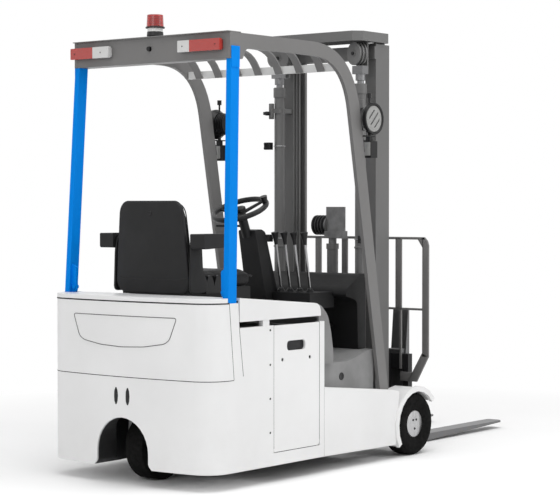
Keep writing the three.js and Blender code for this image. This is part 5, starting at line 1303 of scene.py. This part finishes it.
print("hub screws:", len(bolt_turn), "on each wheel")

# %% [markdown]
# The floor is a wide flat sheet. Near the truck it is pale paper that takes the soft shadow, and
# further out it turns into plain white light for the lens, for gloss and through clear plastic,
# so that no horizon shows.

# %% Floor
FLOOR_R = 60.0
FLOOR_SIDES = 48
WHITE_FROM = (1.6, 3.6)
WORLD_LEVEL = 0.55
ring_r = np.concatenate([np.linspace(0.0, 6.0, 9), np.linspace(8.0, FLOOR_R, 6)])[:, None]
ring_turn = np.linspace(0.0, 2 * math.pi, FLOOR_SIDES, endpoint=False)
ring_z = np.full((len(ring_r), FLOOR_SIDES), -0.0008)
floor_points = np.stack([ring_r * np.cos(ring_turn), ring_r * np.sin(ring_turn), ring_z], axis=-1)
floor_faces = grid_faces(len(ring_r), FLOOR_SIDES, wrap_columns=True)


def white_rays(tree):
    """1 for a ray from the lens, a gloss or through clear plastic, 0 for other light."""
    rays = add_node(tree, "ShaderNodeLightPath").outputs
    seen = rays["Is Camera Ray"]
    for other in ("Is Glossy Ray", "Is Transmission Ray"):
        seen = reckon(tree, "MAXIMUM", seen, rays[other])
    return seen


floor_paper, paper_tree, paper_shader = start_material("floor_paper", roughness=0.9)
paper_place = object_place(paper_tree)
paper_tone = blend_colours(
    paper_tree,
    spread(paper_tree, noise(paper_tree, paper_place, 1.4), 0.0, 1.0),
    (0.955, 0.955, 0.955, 1.0),
    (0.975, 0.975, 0.975, 1.0),
)
paper_tree.links.new(paper_tone, paper_shader.inputs["Base Color"])
paper_radius = add_node(
    paper_tree, "ShaderNodeVectorMath", {0: paper_place}, operation="LENGTH"
).outputs["Value"]
paper_far = spread(paper_tree, paper_radius, 0.0, 1.0, *WHITE_FROM)
paper_white = reckon(paper_tree, "MULTIPLY", paper_far, white_rays(paper_tree))
glow = add_node(paper_tree, "ShaderNodeEmission")
both = add_node(paper_tree, "ShaderNodeMixShader", {0: paper_white})
paper_tree.links.new(paper_shader.outputs[0], both.inputs[1])
paper_tree.links.new(glow.outputs[0], both.inputs[2])
paper_tree.links.new(both.outputs[0], paper_tree.nodes["Material Output"].inputs["Surface"])
floor = put_mesh("floor", floor_points, floor_faces, floor_paper)
print("floor radius:", FLOOR_R)

# %% [markdown]
# The world is white for the same rays, and a dimmer light otherwise. Three large area lamps, one
# overhead, one at the side and one at the rear, give soft shadows and leave the enamel unburnt.

# %% Light
world = bpy.data.worlds.new("studio")
bpy.context.scene.world = world
world.use_nodes = True
sky = world.node_tree
level = spread(sky, white_rays(sky), WORLD_LEVEL, 1.0, 0.0, 1.0)
background = sky.nodes["Background"]
background.inputs["Color"].default_value = (1.0, 1.0, 1.0, 1.0)
sky.links.new(level, background.inputs["Strength"])


def softbox(name, place, target, size, power):
    """A square area light at `place` that faces `target`."""
    light = bpy.data.lights.new(name, "AREA")
    light.shape = "RECTANGLE"
    light.size, light.size_y = size
    light.energy = power
    lamp = bpy.data.objects.new(name, light)
    lamp.location = place
    aim = unit(np.subtract(target, place))
    yaw = math.atan2(aim[1], aim[0]) - math.pi / 2
    lamp.rotation_euler = (math.acos(-aim[2]), 0.0, yaw)
    bpy.context.scene.collection.objects.link(lamp)


softbox("overhead", (-1.0, -1.5, 6.0), (-0.2, 0.0, 0.9), (6.0, 6.0), 260.0)
softbox("side", (1.5, -7.0, 3.2), (-0.3, 0.0, 0.9), (4.0, 3.0), 60.0)
softbox("rear", (-7.0, -1.0, 3.4), (-1.0, 0.0, 1.0), (3.5, 3.0), 50.0)
bpy.context.scene.view_settings.view_transform = "Standard"
print("lights:", [lamp.name for lamp in bpy.data.lights])
